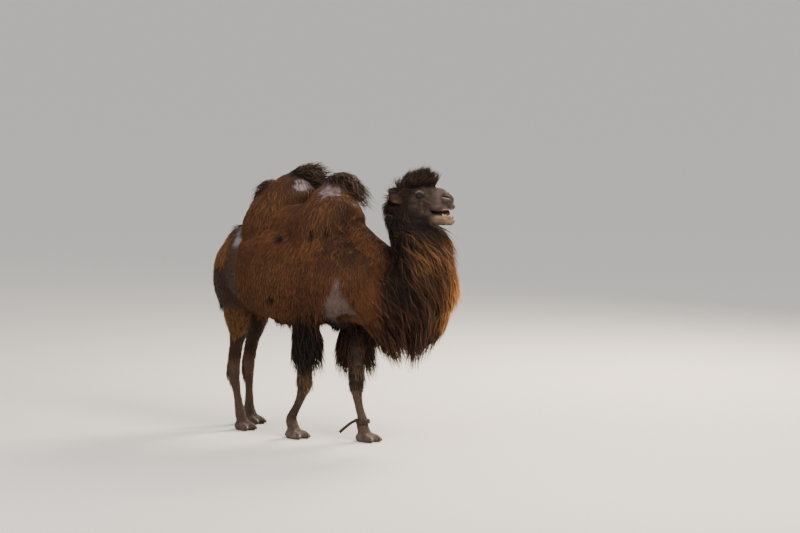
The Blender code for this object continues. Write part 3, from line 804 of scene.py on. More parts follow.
@dataclass(frozen=True)
class HideFinish:
    """Skin under thin hair, coloured by the mesh's tone.

    Attributes:
        name: the material's name.
        pore: size of the fine grain, in metres, coarser than real pores so that it shows.
        wrinkle: size of the folds, in metres.
        roughness: how matt it is.
    """

    name: str = "camel_hide"
    pore: float = 0.004
    wrinkle: float = 0.03
    roughness: float = 0.72

    def material(self) -> Material:
        """Makes the finish.

        Returns:
            The finish as a material.
        """
        made, tree, shader = new_material(self.name)
        place = add_node(tree, "ShaderNodeTexCoord")["Object"]
        tone = add_node(tree, MARK, attribute_name="tone")["Color"]
        fine = add_node(tree, NOISE, {"Vector": place, "Scale": 1 / self.pore, "Detail": 4.0})[0]
        broad = add_node(tree, NOISE, {"Vector": place, "Scale": 1 / self.wrinkle, "Detail": 3.0})[0]
        shade = add_node(tree, RANGE, {"Value": broad, 3: 0.72, 4: 1.25})[0]
        colour = add_node(tree, VECTOR, (tone, shade), operation="MULTIPLY")[0]
        folds = add_node(tree, BUMP, {"Height": broad, "Strength": 0.45, "Distance": 0.006})[0]
        pores = {"Height": fine, "Strength": 0.5, "Distance": 0.0012, "Normal": folds}
        grain = add_node(tree, BUMP, pores)[0]
        matt = {"Roughness": self.roughness, "Specular IOR Level": 0.22}
        feed(tree, shader, {"Base Color": colour, "Normal": grain, **matt})
        return made


# ---- skin


def frame_shift() -> Vector:
    """How far the frame's origin moves the body's own axes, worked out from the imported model's eyes.

    Returns:
        The shift from the body's own axes to the frame's.
    """
    middle = Vector()
    for node in ("eye_left", "eye_right"):
        low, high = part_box(node)
        middle += (Vector(low) + Vector(high)) / 4
    return middle - head_point(EYE_FORWARD, 0, EYE_UP)


def in_head(points: np.ndarray) -> np.ndarray:
    """The points in the head's axes: forward, to the left and up from the eye line."""
    return (points - np.array(EYE_LEVEL)) @ np.array(HEAD_TURN)


def from_head(points: np.ndarray) -> np.ndarray:
    """Points in the head's axes, back in the body's."""
    return points @ np.array(HEAD_TURN).T + np.array(EYE_LEVEL)


def refine(obj: Object, chosen: Callable[[np.ndarray], np.ndarray]) -> None:
    """Splits the faces whose middles are chosen into smaller ones.

    Args:
        obj: the object.
        chosen: tells which of the places given to it are chosen.
    """
    shape = bmesh.new()
    shape.from_mesh(obj.data)
    mask = chosen(np.array([f.calc_center_median() for f in shape.faces]))
    edges = list({e for f, wanted in zip(shape.faces, mask) if wanted for e in f.edges})
    bmesh.ops.subdivide_edges(shape, edges=edges, cuts=1, use_grid_fill=True)
    odd = [f for f in shape.faces if len(f.verts) > 4]
    bmesh.ops.triangulate(shape, faces=odd)
    shape.to_mesh(obj.data)
    shape.free()


@dataclass
class HeadSculptor:
    """Works the folds, lids, nostrils and lips into the head.

    Attributes:
        lid: thickness of the lids.
        opening: half the width and half the height of the eye's opening, as angles.
        eye_reach: how far from an eye's middle the mesh is refined, in metres.
        gap: how deep the opening lies under the eyeball's front, in metres.
    """

    lid: float = 0.0026
    opening: tuple[float, float] = (0.78, 0.2)
    eye_reach: float = 0.042
    gap: float = 0.006

    def near_eyes(self, points: np.ndarray) -> np.ndarray:
        """Whether each point lies close to an eye.

        Args:
            points: places in the body's axes.

        Returns:
            True for each place near an eye.
        """
        local = in_head(points)
        local[:, 1] = np.abs(local[:, 1])
        return np.linalg.norm(local - [EYE_FORWARD, EYE_ASIDE, EYE_UP], axis=1) < self.eye_reach

    def near_muzzle(self, points: np.ndarray) -> np.ndarray:
        """Whether each point lies on the nostrils or the lips."""
        local = in_head(points)
        return (local[:, 0] > 0.17) & (local[:, 2] > -0.13) & (local[:, 2] < 0.04)

    def work(self, obj: Object) -> None:
        """Sculpts the head's mesh.

        Args:
            obj: the head's object.
        """
        refine(obj, lambda p: self.near_eyes(p) | self.near_muzzle(p))
        refine(obj, self.near_eyes)
        local = in_head(points_of(obj.data))
        normal = normals_of(obj.data) @ np.array(HEAD_TURN)
        local += normal * self.relief(local)[:, None]
        self.lids(local)
        set_points(obj.data, from_head(local))

    def relief(self, local: np.ndarray) -> np.ndarray:
        """How far each point of the head stands out, in metres.

        Args:
            local: the points in the head's axes.

        Returns:
            A height for each point.
        """
        f, u = local[:, 0], local[:, 2]
        aside = np.abs(local[:, 1])
        on_side = ramp(aside, 0.012, 0.03)

        def mound(forward: float, up: float, long: float, tall: float, slope: float = 0.0) -> np.ndarray:
            """A soft bump on the side of the head, its long axis rising by the slope."""
            ahead = f - forward
            return np.exp(-((ahead / long) ** 2) - ((u - up - slope * ahead) / tall) ** 2) * on_side

        slit = 0.002 - 0.24 * (f - 0.182)
        along = np.clip(1 - ((f - 0.214) / 0.038) ** 2, 0, 1) * on_side
        nostril = along * hill(u - slit, 0.0048)
        rim = along * hill(u - slit + 0.011, 0.0055)
        ridge = ramp(u, -0.13, -0.07) * ramp(-u, -0.07, -0.02) * on_side
        fold = hill(f - 0.15 - 0.1 * (u + 0.03), 0.017) * ridge
        groove = hill(f - 0.183 - 0.1 * (u + 0.03), 0.008) * ridge * (u < -0.02)
        hollow = hill(f - 0.12 - 0.1 * (u + 0.03), 0.012) * ridge
        cleft = np.exp(-((local[:, 1] / 0.005) ** 2)) * ramp(f, 0.225, 0.245) * ramp(-u, 0.01, 0.04)
        corner = mound(0.115, -0.124, 0.04, 0.006, -0.25) * (f < 0.2)
        lips = hill(u + 0.108, 0.006) * ramp(f, 0.16, 0.2) + mound(0.2, -0.186, 0.06, 0.008, -0.05)
        wrinkle = ripple(local, 0.022, 3.0) * 0.0016 + ripple(local * [1, 1, 2.2], 0.01, 6.0) * 0.0008
        return (
            -0.0125 * nostril + 0.004 * rim + 0.0048 * fold - 0.0034 * groove - 0.003 * hollow
            - 0.006 * cleft - 0.006 * corner + 0.0026 * lips + wrinkle
            + 0.005 * mound(0.2, 0.03, 0.022, 0.01, -0.2)
            + 0.006 * mound(0.06, -0.045, 0.05, 0.012, -0.45)
            - 0.0045 * mound(0.045, -0.012, 0.028, 0.01, -0.5)
            - 0.0045 * mound(0.04, -0.085, 0.04, 0.018, -0.2) - 0.004 * mound(-0.105, -0.08, 0.01, 0.06)
            - 0.005 * mound(0.225, -0.062, 0.028, 0.024)
            - 0.01 * bell(local, (-0.19, 0, -0.032), (0.042, 1, 0.023)) * ramp(aside, 0.088, 0.096)
        )

    def lids(self, local: np.ndarray) -> None:
        """Draws the lids over both eyeballs, leaving each opening free.

        Args:
            local: the points in the head's axes, which move in place.
        """
        wide, high = self.opening
        for side in (-1, 1):
            centre = np.array([EYE_FORWARD, side * EYE_ASIDE, EYE_UP])
            away = local - centre
            reach = np.linalg.norm(away, axis=1)
            ray = unit(away)
            outward = unit(np.array([0.12, side, 0.05]))
            facing = ray @ outward
            across = np.arcsin(np.clip(ray[:, 0] - 0.12 * facing, -1, 1))
            rise = np.arcsin(np.clip(ray[:, 2] - 0.05 * facing, -1, 1)) + 0.16 * across
            almond = np.sqrt((across / wide) ** 2 + (rise / (high * (1 - 0.22 * np.abs(across)))) ** 2)
            close = (facing > 0.15) & (reach < 0.045)
            covered = ramp(facing, 0.15, 0.55)
            lip = 0.0016 * hill(almond - 1.12, 0.1)
            fold = 0.0026 * hill(almond - 1.6, 0.14) * ramp(rise, 0.0, 0.2)
            brow = 0.0105 * hill(almond - 2.2, 0.7) * ramp(rise, 0.06, 0.35)
            lid = np.maximum(reach, (EYE_RADIUS + self.lid) * covered) + (lip - fold + brow) * covered
            share = ramp(almond, 0.94, 1.04)
            wanted = lid * share + (EYE_RADIUS - self.gap) * (1 - share)
            local[close] = centre + ray[close] * wanted[close, None]


@dataclass
class Skin:
    """The one skin that stands for the flesh, with what the coat needs to know at every corner.

    Attributes:
        flesh: the tubes that it wraps.
        body_voxel: the size of the body's faces.
        head_voxel: the size of the head's faces.
        body_smoothing: how many times the body is smoothed.
        head_smoothing: how many times the head is smoothed.
    """

    flesh: Flesh = field(default_factory=Flesh)
    body_voxel: float = 0.0165
    head_voxel: float = 0.0052
    body_smoothing: int = 6
    head_smoothing: int = 4

    def build(self) -> Object:
        """Builds the skin in the body's own axes.

        Returns:
            The skin's object.
        """
        flesh = self.flesh
        shells = flesh.trunk() + flesh.humps() + flesh.neck() + flesh.tail()
        for legs, make in ((FORELEGS, flesh.foreleg), (HIND_LEGS, flesh.hind_leg)):
            for leg in legs:
                shells += make(leg)
        head_shells = flesh.head()
        self.shells = shells + head_shells
        body = fuse("skin", shells, self.body_voxel, self.body_smoothing)
        refine(body, lambda p: p[:, 2] < 0.16)
        head = fuse("head_skin", head_shells, self.head_voxel, self.head_smoothing)
        HeadSculptor().work(head)
        join = body.modifiers.new("join", "BOOLEAN")
        join.operation = "UNION"
        join.solver = "MANIFOLD"
        join.object = head
        bake_modifiers(body)
        bpy.data.objects.remove(head)
        points = points_of(body.data)
        points[:, 2] = np.maximum(points[:, 2], 0.0)
        set_points(body.data, points)
        body.data.shade_smooth()
        body.data.materials.clear()
        LOG.info("skin: %d triangles", sum(len(p.vertices) - 2 for p in body.data.polygons))
        return body

    def regions(self, mesh: Mesh) -> np.ndarray:
        """Each corner's share in every region, softened where regions meet.

        Args:
            mesh: the skin's mesh.

        Returns:
            A row for each corner, with a column for each region.
        """
        marked = [(point, shell.region.value) for shell in self.shells for point in shell.points]
        tree = KDTree(len(marked))
        for i, (point, _) in enumerate(marked):
            tree.insert(Vector(point), i)
        tree.balance()
        points = points_of(mesh)
        share = np.zeros((len(points), len(Region)))
        for i, point in enumerate(points.tolist()):
            share[i, marked[tree.find(Vector(point))[1]][1]] = 1
        edges = np.empty(len(mesh.edges) * 2, np.int32)
        mesh.edges.foreach_get("vertices", edges)
        start, end = edges.reshape(-1, 2).T
        degree = np.bincount(edges, minlength=len(points))
        for _ in range(6):
            total = np.empty_like(share)
            for k, column in enumerate(share.T):
                total[:, k] = np.bincount(start, column[end], len(points))
                total[:, k] += np.bincount(end, column[start], len(points))
            share = 0.5 * share + 0.5 * total / np.maximum(degree, 1)[:, None]
        return share


# ---- coat map


@dataclass(frozen=True)
class Growth:
    """How the coat of one region grows.

    Attributes:
        lie: the way the hair lies, in the body's axes.
        reach: length of a tuft, in metres.
        girth: half the width of a tuft, in metres.
        stand: how steeply it leaves the skin.
        droop: how far its tip sinks, as a share of its length.
        curl: how far it waves aside, as a share of its length.
        cover: tufts on a square metre, before each piece scales them.
        root: the colour of skin and roots.
        tip: the colour at the tips.
    """

    lie: tuple[float, float, float]
    reach: float
    girth: float
    stand: float
    droop: float
    curl: float
    cover: float
    root: Tone
    tip: Tone


def head_way(forward: float, left: float, up: float) -> tuple[float, float, float]:
    """A direction in the head's axes, turned into the body's."""
    return tuple(HEAD_TURN @ Vector((forward, left, up)))


GROWTH = {
    TRUNK: Growth((-0.28, 0, -1), 0.046, 0.0042, 0.1, 0.1, 0.12, 1.0, CHESTNUT, UMBER),
    HUMP: Growth((-0.15, 0, -1), 0.06, 0.005, 0.22, 0.15, 0.16, 1.0, CHESTNUT, UMBER),
    WITHERS: Growth((0.1, 0, -1), 0.055, 0.0052, 0.4, 0.2, 0.32, 1.8, CHESTNUT, UMBER),
    NECK: Growth((0.33, 0.37, -0.85), 0.105, 0.0044, 0.2, 0.25, 0.12, 1.0, SOOT, SABLE),
    BEARD: Growth((0.42, 0.46, -0.9), 0.21, 0.0041, 0.12, 0.15, 0.09, 1.0, BLACK, SABLE),
    BREAST: Growth((0, 0, -1), 0.19, 0.0048, 0.18, 0.2, 0.1, 1.0, BLACK, SABLE),
    FORELEG: Growth((0, 0, -1), 0.105, 0.0046, 0.42, 0.3, 0.2, 1.0, BLACK, SOOT),
    HIND_LEG: Growth((-0.1, 0, -1), 0.026, 0.0038, 0.12, 0.1, 0.05, 1.0, CHEEK, CHESTNUT),
    HEAD: Growth(head_way(-1, 0, -0.35), 0.012, 0.0013, 0.12, 0.1, 0.0, 1.0, FACE, FACE),
    TOPKNOT: Growth(head_way(0.22, 0, 0.7), 0.078, 0.0036, 0.5, 0.05, 0.16, 1.0, BLACK, CHEEK),
    TAIL: Growth((0, 0, -1), 0.08, 0.0044, 0.12, 0.15, 0.06, 1.0, SOOT, CHEEK),
    EAR: Growth(head_way(-0.8, 0, 0.1), 0.014, 0.0018, 0.3, 0.0, 0.08, 1.0, CHEEK, CHESTNUT),
}


@dataclass
class CoatMap:
    """What the coat does at every corner of the skin.

    Attributes:
        points: the skin's corners.
        share: each corner's share in every region.
        blanket_edge: where the felted winter wool of the flank ends towards the rear.
        slits: where the felt has parted, as places with their width and height, painted dark as shade in the
            partings.
    """

    points: np.ndarray
    share: np.ndarray
    blanket_edge: float = -0.345
    slits: tuple[tuple[tuple[float, float, float], float, float], ...] = (
        ((0.15, -0.29, 1.67), 0.045, 0.03),
        ((0.59, -0.17, 1.75), 0.032, 0.028),
        ((0.49, -0.25, 1.73), 0.026, 0.028),
        ((0.0, 0.02, 1.95), 0.035, 0.075),
        ((0.17, 0.0, 1.97), 0.03, 0.07),
        ((0.13, -0.4, 1.2), 0.03, 0.03),
        ((0.2, 0.38, 1.55), 0.025, 0.03),
        ((-0.1, 0.4, 1.35), 0.03, 0.025),
    )

    def __post_init__(self) -> None:
        """Reads the growth of every region, then works over the coat part by part."""
        self.local = in_head(self.points)
        self.fine = ripple(self.points, 0.035, 1.0)
        self.mid = ripple(self.points, 0.11, 5.0)
        self.broad = ripple(self.points, 0.33, 9.0)
        order = [GROWTH[region] for region in Region]
        self.lie = self.share @ np.array([g.lie for g in order])
        for name in ("reach", "girth", "stand", "droop", "curl", "cover"):
            setattr(self, name, self.share @ np.array([getattr(g, name) for g in order]))
        self.root = self.share @ np.array([g.root.rgb for g in order])
        self.tip = self.share @ np.array([g.tip.rgb for g in order])
        self.flank()
        self.humps()
        self.hindquarters()
        self.neck()
        self.forelegs()
        self.brisket()
        self.shanks()
        self.head()
        knot = self.of(TOPKNOT) * ripple(self.points, 0.024, 4.0)
        self.reach = self.reach * (1 + 0.18 * self.fine) * (1 + 0.35 * knot)

    def of(self, *regions: Region) -> np.ndarray:
        """Each corner's share in these regions together."""
        return sum(self.share[:, region.value] for region in regions)

    def blanket(self) -> np.ndarray:
        """How far each corner lies under the felted wool of the flank, with its torn rear edge.

        Returns:
            A share for each corner.
        """
        x, z = self.points[:, 0], self.points[:, 2]
        torn = 0.045 * self.fine + 0.035 * self.mid
        edge = self.blanket_edge - 0.14 * ramp(z, 1.6, 1.8) + 0.2 * ramp(-z, -1.22, -1.02)
        return ramp(x + torn, edge - 0.008, edge + 0.008) * ramp(z, 0.7, 0.95) * self.of(
            TRUNK, HUMP, HIND_LEG
        )

    def patch(self, middle: tuple[float, float, float], radii: tuple[float, float, float]) -> np.ndarray:
        """A ragged patch of wool or of bare hide.

        Args:
            middle: its middle.
            radii: its three radii.

        Returns:
            A share for each corner.
        """
        rough = 0.35 * self.fine + 0.35 * self.mid
        away = np.sqrt((((self.points - np.array(middle)) / np.array(radii)) ** 2).sum(1))
        return ramp(1.15 - away + rough, 0.0, 0.3)

    def thin(self, share: np.ndarray, left: float) -> None:
        """Leaves only some of the coat, and shorter, where the share is one."""
        self.cover = self.cover * (1 - share * (1 - left))
        self.reach = self.reach * (1 - share * 0.55)

    def dye(self, share: np.ndarray, root: Tone | None = None, tip: Tone | None = None) -> None:
        """Moves the coat's colours towards other tones.

        Args:
            share: how far, for each corner.
            root: the tone for skin and roots, if they change.
            tip: the tone for the tips, if they change.
        """
        if root:
            self.root = mixed(self.root, root, share)
        if tip:
            self.tip = mixed(self.tip, tip, share)

    def add(self, share: np.ndarray, **amounts: float) -> None:
        """Adds an amount times the share to each measure of the coat that is named."""
        for name, amount in amounts.items():
            setattr(self, name, getattr(self, name) + amount * share)

    def cut(self, share: np.ndarray, **amounts: float) -> None:
        """Lessens each measure of the coat that is named, by an amount times the share."""
        for name, amount in amounts.items():
            setattr(self, name, getattr(self, name) * (1 - amount * share))

    def comb(self, share: np.ndarray, way: np.ndarray) -> None:
        """Turns the lie of the hair towards another way, by a share for each corner."""
        self.lie = self.lie * (1 - share[:, None]) + way * share[:, None]

    def flank(self) -> None:
        """The flank's colours, with painted shade towards the belly and under the chest and a painted
        highlight across its middle, the shoulder's curls, the slits in the felt painted dark as shade, and
        the belly's ragged tufts.
        """
        x, _, z = self.points.T
        trunk = self.of(TRUNK, HUMP)
        # Painted shade: roots and tips darken towards the belly.
        self.dye(0.45 * ramp(-z, -1.25, -0.95) * trunk, root=SOOT)
        self.dye(0.75 * ramp(-z, -1.3, -1.0) * trunk, tip=CHESTNUT)
        self.dye(trunk * np.clip(0.25 - 0.8 * self.broad - 0.5 * self.mid, 0, 1) * 0.8, tip=CHESTNUT)
        self.dye(trunk * np.clip(self.broad + 0.3 * self.fine, 0, 1) * 0.5, tip=TAN)
        lit = bell(self.points * [1, 0, 1], (0.2, 0, 1.4), (0.42, 1, 0.24)) * trunk
        self.dye(0.32 * lit, tip=OCHRE)
        self.dye(0.3 * ramp(z, 1.62, 1.78) * trunk, tip=CHESTNUT)
        belly = ramp(-z, -1.04, -0.93) * self.of(TRUNK) * ramp(self.fine + self.mid, 0.0, 0.5)
        self.under = ramp(-z, -1.1, -0.98) * self.of(TRUNK) * (x < 0.8)
        self.reach = self.reach * (1 - 0.5 * self.under) + 0.045 * belly
        self.add(belly, stand=0.1)
        chest = ramp(-z, -1.04, -0.98) * ramp(x, 0.36, 0.46) * self.of(TRUNK)
        self.cut(chest, reach=0.3)
        # Painted shade under the chest: black roots and sooty tips.
        self.dye(chest, root=BLACK)
        self.dye(0.9 * chest, tip=SOOT)
        curly = ramp(x + 0.08 * self.mid, 0.54, 0.68) * ramp(z, 1.42, 1.58) * trunk
        self.add(curly, curl=0.35, stand=0.3)
        self.dye(0.9 * curly, tip=CHESTNUT)
        self.dye(np.clip(self.fine, 0, 1) * 0.9 * curly, tip=OCHRE)
        self.dye(0.8 * curly, root=SOOT)
        self.slit = np.zeros(len(x))
        for place, wide, tall in self.slits:
            self.slit = np.maximum(self.slit, self.patch(place, (wide, 0.09, tall)))
        # Painted shade: the partings in the felt are blackened.
        self.dye(self.slit, root=BLACK, tip=SOOT)

    def humps(self) -> None:
        """The long dark tufts on the humps, the bare hide where the wool has gone, lightened as a painted
        highlight, and the curly wool behind the rear hump, darkened as painted shade.
        """
        x, y, z = self.points.T
        hump, ahead = self.of(HUMP), x > 0.1
        across = x * math.cos(HEAD_YAW) + y * math.sin(HEAD_YAW)
        rear_tuft = hump * ramp(z + 0.5 * y, 2.14, 2.2) * ~ahead * ramp(across, -0.09, -0.02)
        front_tuft = hump * ramp(z + 0.6 * y, 2.1, 2.18) * ahead
        for tuft, forward in ((rear_tuft, (0.55, 0.5, 0.15)), (front_tuft, (0.55, 0.6, -0.55))):
            self.comb(tuft, np.array(forward))
            self.add(tuft, reach=0.045, stand=0.3, curl=0.15)
            self.dye(tuft, root=SOOT)
            self.dye(0.9 * tuft, tip=CANNON)
        tuft = np.maximum(rear_tuft, front_tuft)
        self.add(front_tuft, droop=0.25)
        bare = np.maximum(
            self.patch((-0.03, 0.11, 2.07), (0.09, 0.1, 0.05)),
            self.patch((0.4, 0.02, 2.06), (0.085, 0.1, 0.07)),
        ) * hump * (1 - 0.75 * tuft)
        self.thin(bare, 0.55)
        # Painted highlight: the bare hide on the hump tops is lightened towards pale ash.
        self.dye(bare * np.where(ahead, 0.45 + 0.4 * self.fine, 0.8), root=LIT_ASH_HIDE)
        self.dye(bare * (0.7 + 0.5 * self.fine), tip=PALE_HIDE)
        spot = bell(self.points, (0.5, 0.12, 2.04), (0.05, 0.05, 0.06)) * hump
        self.thin(spot, 0.3)
        self.dye(1.6 * spot, root=TAN)
        behind = np.maximum(
            self.patch((-0.4, 0.08, 1.99), (0.13, 0.17, 0.16)),
            self.patch((-0.54, 0.02, 1.83), (0.09, 0.2, 0.14)),
        ) * hump * (1 - tuft)
        self.add(behind, curl=0.35, stand=0.5, reach=0.02)
        # Painted shade: the curly wool on the rump behind the rear hump is darkened.
        self.dye(0.8 * behind, root=BLACK)
        self.dye(behind * (0.75 + 0.25 * self.fine), tip=CHEEK)

    def hindquarters(self) -> None:
        """The moulted haunch: bare grey hide behind the blanket, with patches of tan wool left on it. Its
        grey patches are paler at the top, as a painted highlight.
        """
        x, _, z = self.points.T
        behind = (1 - self.blanket()) * self.of(TRUNK, HIND_LEG) * ramp(z, 0.62, 0.75) * (x < 0.1)
        wool = np.zeros(len(x))
        for middle, radii in (
            ((-0.62, -0.22, 1.54), (0.14, 0.18, 0.15)),
            ((-0.76, -0.05, 1.42), (0.11, 0.16, 0.24)),
            ((-0.66, 0.24, 1.46), (0.15, 0.16, 0.2)),
            ((-0.5, -0.26, 0.93), (0.14, 0.14, 0.14)),
            ((-0.62, 0.26, 1.0), (0.14, 0.14, 0.16)),
        ):
            wool = np.maximum(wool, self.patch(middle, radii))
        bare = behind * (1 - wool)
        self.thin(bare, 0.6)
        grey = np.zeros(len(x))
        for middle, radii, share in (
            ((-0.45, -0.22, 1.67), (0.17, 0.18, 0.13), 1.0),
            ((-0.45, 0.24, 1.67), (0.17, 0.18, 0.13), 1.0),
            ((-0.42, -0.34, 1.37), (0.1, 0.14, 0.2), 0.42),
            ((-0.42, 0.34, 1.37), (0.1, 0.14, 0.2), 0.42),
        ):
            grey = np.maximum(grey, share * self.patch(middle, radii))
        # Painted highlight: the grey patches are paler at their top.
        pale = grey * ramp(z, 1.48, 1.62)
        self.dye(bare * 0.9, root=CHESTNUT)
        self.dye(bare * (0.8 - 0.3 * ramp(z, 1.25, 1.5)), root=SOOT)
        self.dye(bare * grey, root=FACE)
        self.dye(bare * pale * 0.75, root=LIT_ASH_HIDE)
        self.dye(bare * (1 - grey), tip=CHESTNUT)
        self.dye(bare * grey * 0.6, tip=CANNON)
        self.thin(bare * grey, 0.45)
        self.dye(behind * wool, root=CHESTNUT)
        self.dye(behind * wool * 0.8, tip=TAN)
        self.add(behind * wool, curl=0.25, stand=0.2, reach=0.012)
        peak = bell(self.points, (-0.6, -0.08, 1.7), (0.06, 0.09, 0.06)) * behind
        self.add(peak, reach=0.06, stand=0.7)
        self.wool = behind * wool

    def relief(self) -> np.ndarray:
        """How far the skin stands out under felt, in metres.

        Returns:
            A height for each corner.
        """
        felt = self.blanket() * (1 + 0.8 * ripple(self.points * [1, 1, 0.7], 0.15, 12.0))
        lumps = 0.006 * self.wool + 0.012 * self.lip + 0.006 * self.knob + 0.005 * self.swell
        return 0.01 * felt - 0.014 * self.slit + lumps - 0.02 * self.under

    def neck(self) -> None:
        """The neck's curly nape, its dark side deepened with painted shade, the beard with its lit edge
        painted in, and a painted highlight below the ear.
        """
        _, y, z = self.points.T
        across = np.array([math.cos(HEAD_YAW), math.sin(HEAD_YAW), 0.0])
        ahead = self.points @ across - 0.943
        mane = self.of(NECK, BEARD)
        aim = np.interp(z, [0.9, 1.1, 1.3, 1.5, 1.7], [-0.05, 0.06, 0.19, 0.3, 0.38])
        lean = np.clip(3.0 * (aim - ahead), -0.7 + 0.8 * ramp(z, 1.1, 1.35), 1.3)
        swept = across * lean[:, None] + [0, 0, -1]
        self.comb(self.of(BEARD, BREAST) + self.of(NECK) * ramp(ahead, -0.16, -0.06), swept)
        high = ramp(ahead + 0.03 * self.fine, -0.075, -0.045) * mane * ramp(z, 1.15, 1.3)
        high = high * (1 - ramp(z, 1.77, 1.85))
        self.lip = high
        self.reach = self.reach + 0.07 * high * self.of(NECK)
        outer = np.maximum(ramp(ahead, 0.15, 0.32), ramp(y, 0.3, 0.42)) * (mane + self.of(BREAST))
        self.reach = self.reach * (1 - (0.42 - 0.24 * ramp(z, 1.3, 1.5)) * outer)
        gap = bell(self.points, (1.09, 0.13, 1.04), (0.11, 0.11, 0.12))
        self.add(gap, reach=0.11)
        self.cover = self.cover + 0.9 * gap * (mane + self.of(BREAST))
        nape = ramp(-ahead, 0.02, 0.12) * ramp(z, 1.45, 1.6) * mane
        self.add(nape, curl=0.42, stand=0.45)
        self.cut(nape, reach=0.45)
        self.dye(nape, root=BLACK)
        self.dye(nape * (0.8 + 0.2 * self.fine), tip=SOOT)
        self.dye(0.8 * nape * ramp(self.fine + 0.5 * self.mid, 0.05, 0.5), tip=OCHRE)
        # Painted rim light: the beard's front edge gets ochre and amber tips and lighter roots.
        front = ramp(ahead + 0.05 * self.fine, 0.25, 0.38) * mane * ramp(z, 0.85, 1.2)
        self.dye(front, tip=OCHRE)
        self.dye(front * ramp(ahead, 0.24, 0.34), tip=AMBER)
        self.dye(0.5 * front, root=CHESTNUT)
        self.dye(0.28 * high * ramp(z, 1.42, 1.66), tip=OCHRE)
        warm = ramp(ahead, 0.02, 0.3) * mane * ramp(z, 1.0, 1.25)
        self.dye(0.14 * warm, tip=OCHRE)
        # The neck's side behind the mane: dark hair, darkened further as painted shade.
        side = self.of(NECK) * ramp(ahead, -0.22, -0.14) * (1 - high) * ramp(z, 1.2, 1.4)
        self.dye(0.9 * side, tip=SOOT)
        self.dye(0.8 * side, root=BLACK)
        # Painted highlight on the neck's side below the ear.
        highlight_below_ear = bell(self.local * [1, 0, 1], (-0.14, 0, -0.27), (0.055, 1, 0.07)) * self.of(NECK)
        self.dye(0.9 * highlight_below_ear, tip=UMBER)
        # Dark hair between the trunk and the mane, darkened as painted shade.
        shade_and_dark_hair = ramp(ahead + 0.05 * self.fine + 0.03 * self.mid, -0.3, -0.16)
        shade_and_dark_hair = shade_and_dark_hair * ramp(z, 1.22, 1.45) * (1 - high)
        shade_and_dark_hair = shade_and_dark_hair * self.of(WITHERS, NECK, TRUNK)
        shoulder = self.of(NECK) * ramp(-ahead, 0.22, 0.34)
        self.shoulder = shoulder
        self.cut(shoulder, reach=0.6)
        self.dye(shoulder, root=CHESTNUT, tip=UMBER)
        self.dye(0.4 * shoulder, tip=CHESTNUT)
        self.dye(0.8 * shade_and_dark_hair, root=BLACK, tip=SABLE)
        hem = self.of(BEARD) * ramp(-z, -1.1, -0.9)
        self.dye(0.4 * hem, tip=SOOT)
        self.dye(0.35 * self.of(BREAST) * ramp(self.fine, -0.2, 0.5), tip=OCHRE)
        throat = ramp(z, 1.77, 1.84) * ramp(ahead, 0.05, 0.15) * mane
        self.dye(throat, root=BLACK, tip=SOOT)
        self.cut(throat, reach=0.45)

    def forelegs(self) -> None:
        """The shag of the forearms, longest behind and just above the knees."""
        x, y, z = self.points.T
        leg = self.of(FORELEG)
        shag = ramp(z, 0.66, 0.7) * (1 - ramp(z, 0.95, 1.1)) * leg
        self.add(shag, reach=0.012)
        self.stand = self.stand + 0.15 * ramp(-z, -0.8, -0.68) * shag
        self.reach = self.reach * (1 - 0.22 * shag * (y < 0))
        self.dye(0.35 * shag * (y > 0), tip=CHESTNUT)
        out, aside = x - 0.59, y - HALF_TRACK
        facing = out * math.sin(HEAD_YAW) - aside * math.cos(HEAD_YAW)
        off = out * math.cos(HEAD_YAW) + aside * math.sin(HEAD_YAW) - 0.01 + 0.012 * self.fine
        panel = leg * (y > 0) * np.exp(-((off / 0.05) ** 4)) * ramp(facing, 0.0, 0.04)
        panel = panel * ramp(-z, -0.93, -0.8) * ramp(z, 0.6, 0.66)
        self.cut(panel, reach=0.78, girth=0.45)
        self.dye(panel, root=FACE)
        self.dye(panel * (0.22 + 0.4 * self.mid), root=PALE_HIDE)
        self.dye(0.9 * panel, tip=CANNON)
        upper = ramp(z, 1.0, 1.15) * leg
        self.cut(upper, reach=0.65)
        self.dye(upper, root=CHESTNUT, tip=UMBER)

    def brisket(self) -> None:
        """The pale wedge of thin hair behind each elbow, with its point up."""
        x, y, z = self.points.T
        half = 0.015 + 0.48 * (1.36 - z) + 0.03 * self.fine + 0.02 * self.mid
        middle = 0.79 - 0.28 * (1.36 - z)
        wedge = ramp(half - np.abs(x - middle), -0.02, 0.03) * ramp(z, 0.98, 1.05)
        wedge = wedge * (np.abs(y) > 0.08) * (x < 0.9) * self.of(TRUNK, FORELEG, NECK)
        self.thin(wedge, 0.55)
        self.cut(wedge, girth=0.35, stand=0.5)
        self.dye(wedge, root=FACE)
        self.dye(wedge * (0.5 + 0.25 * self.mid), root=PALE_HIDE)
        self.dye(wedge * 0.9, tip=PALE_HIDE)

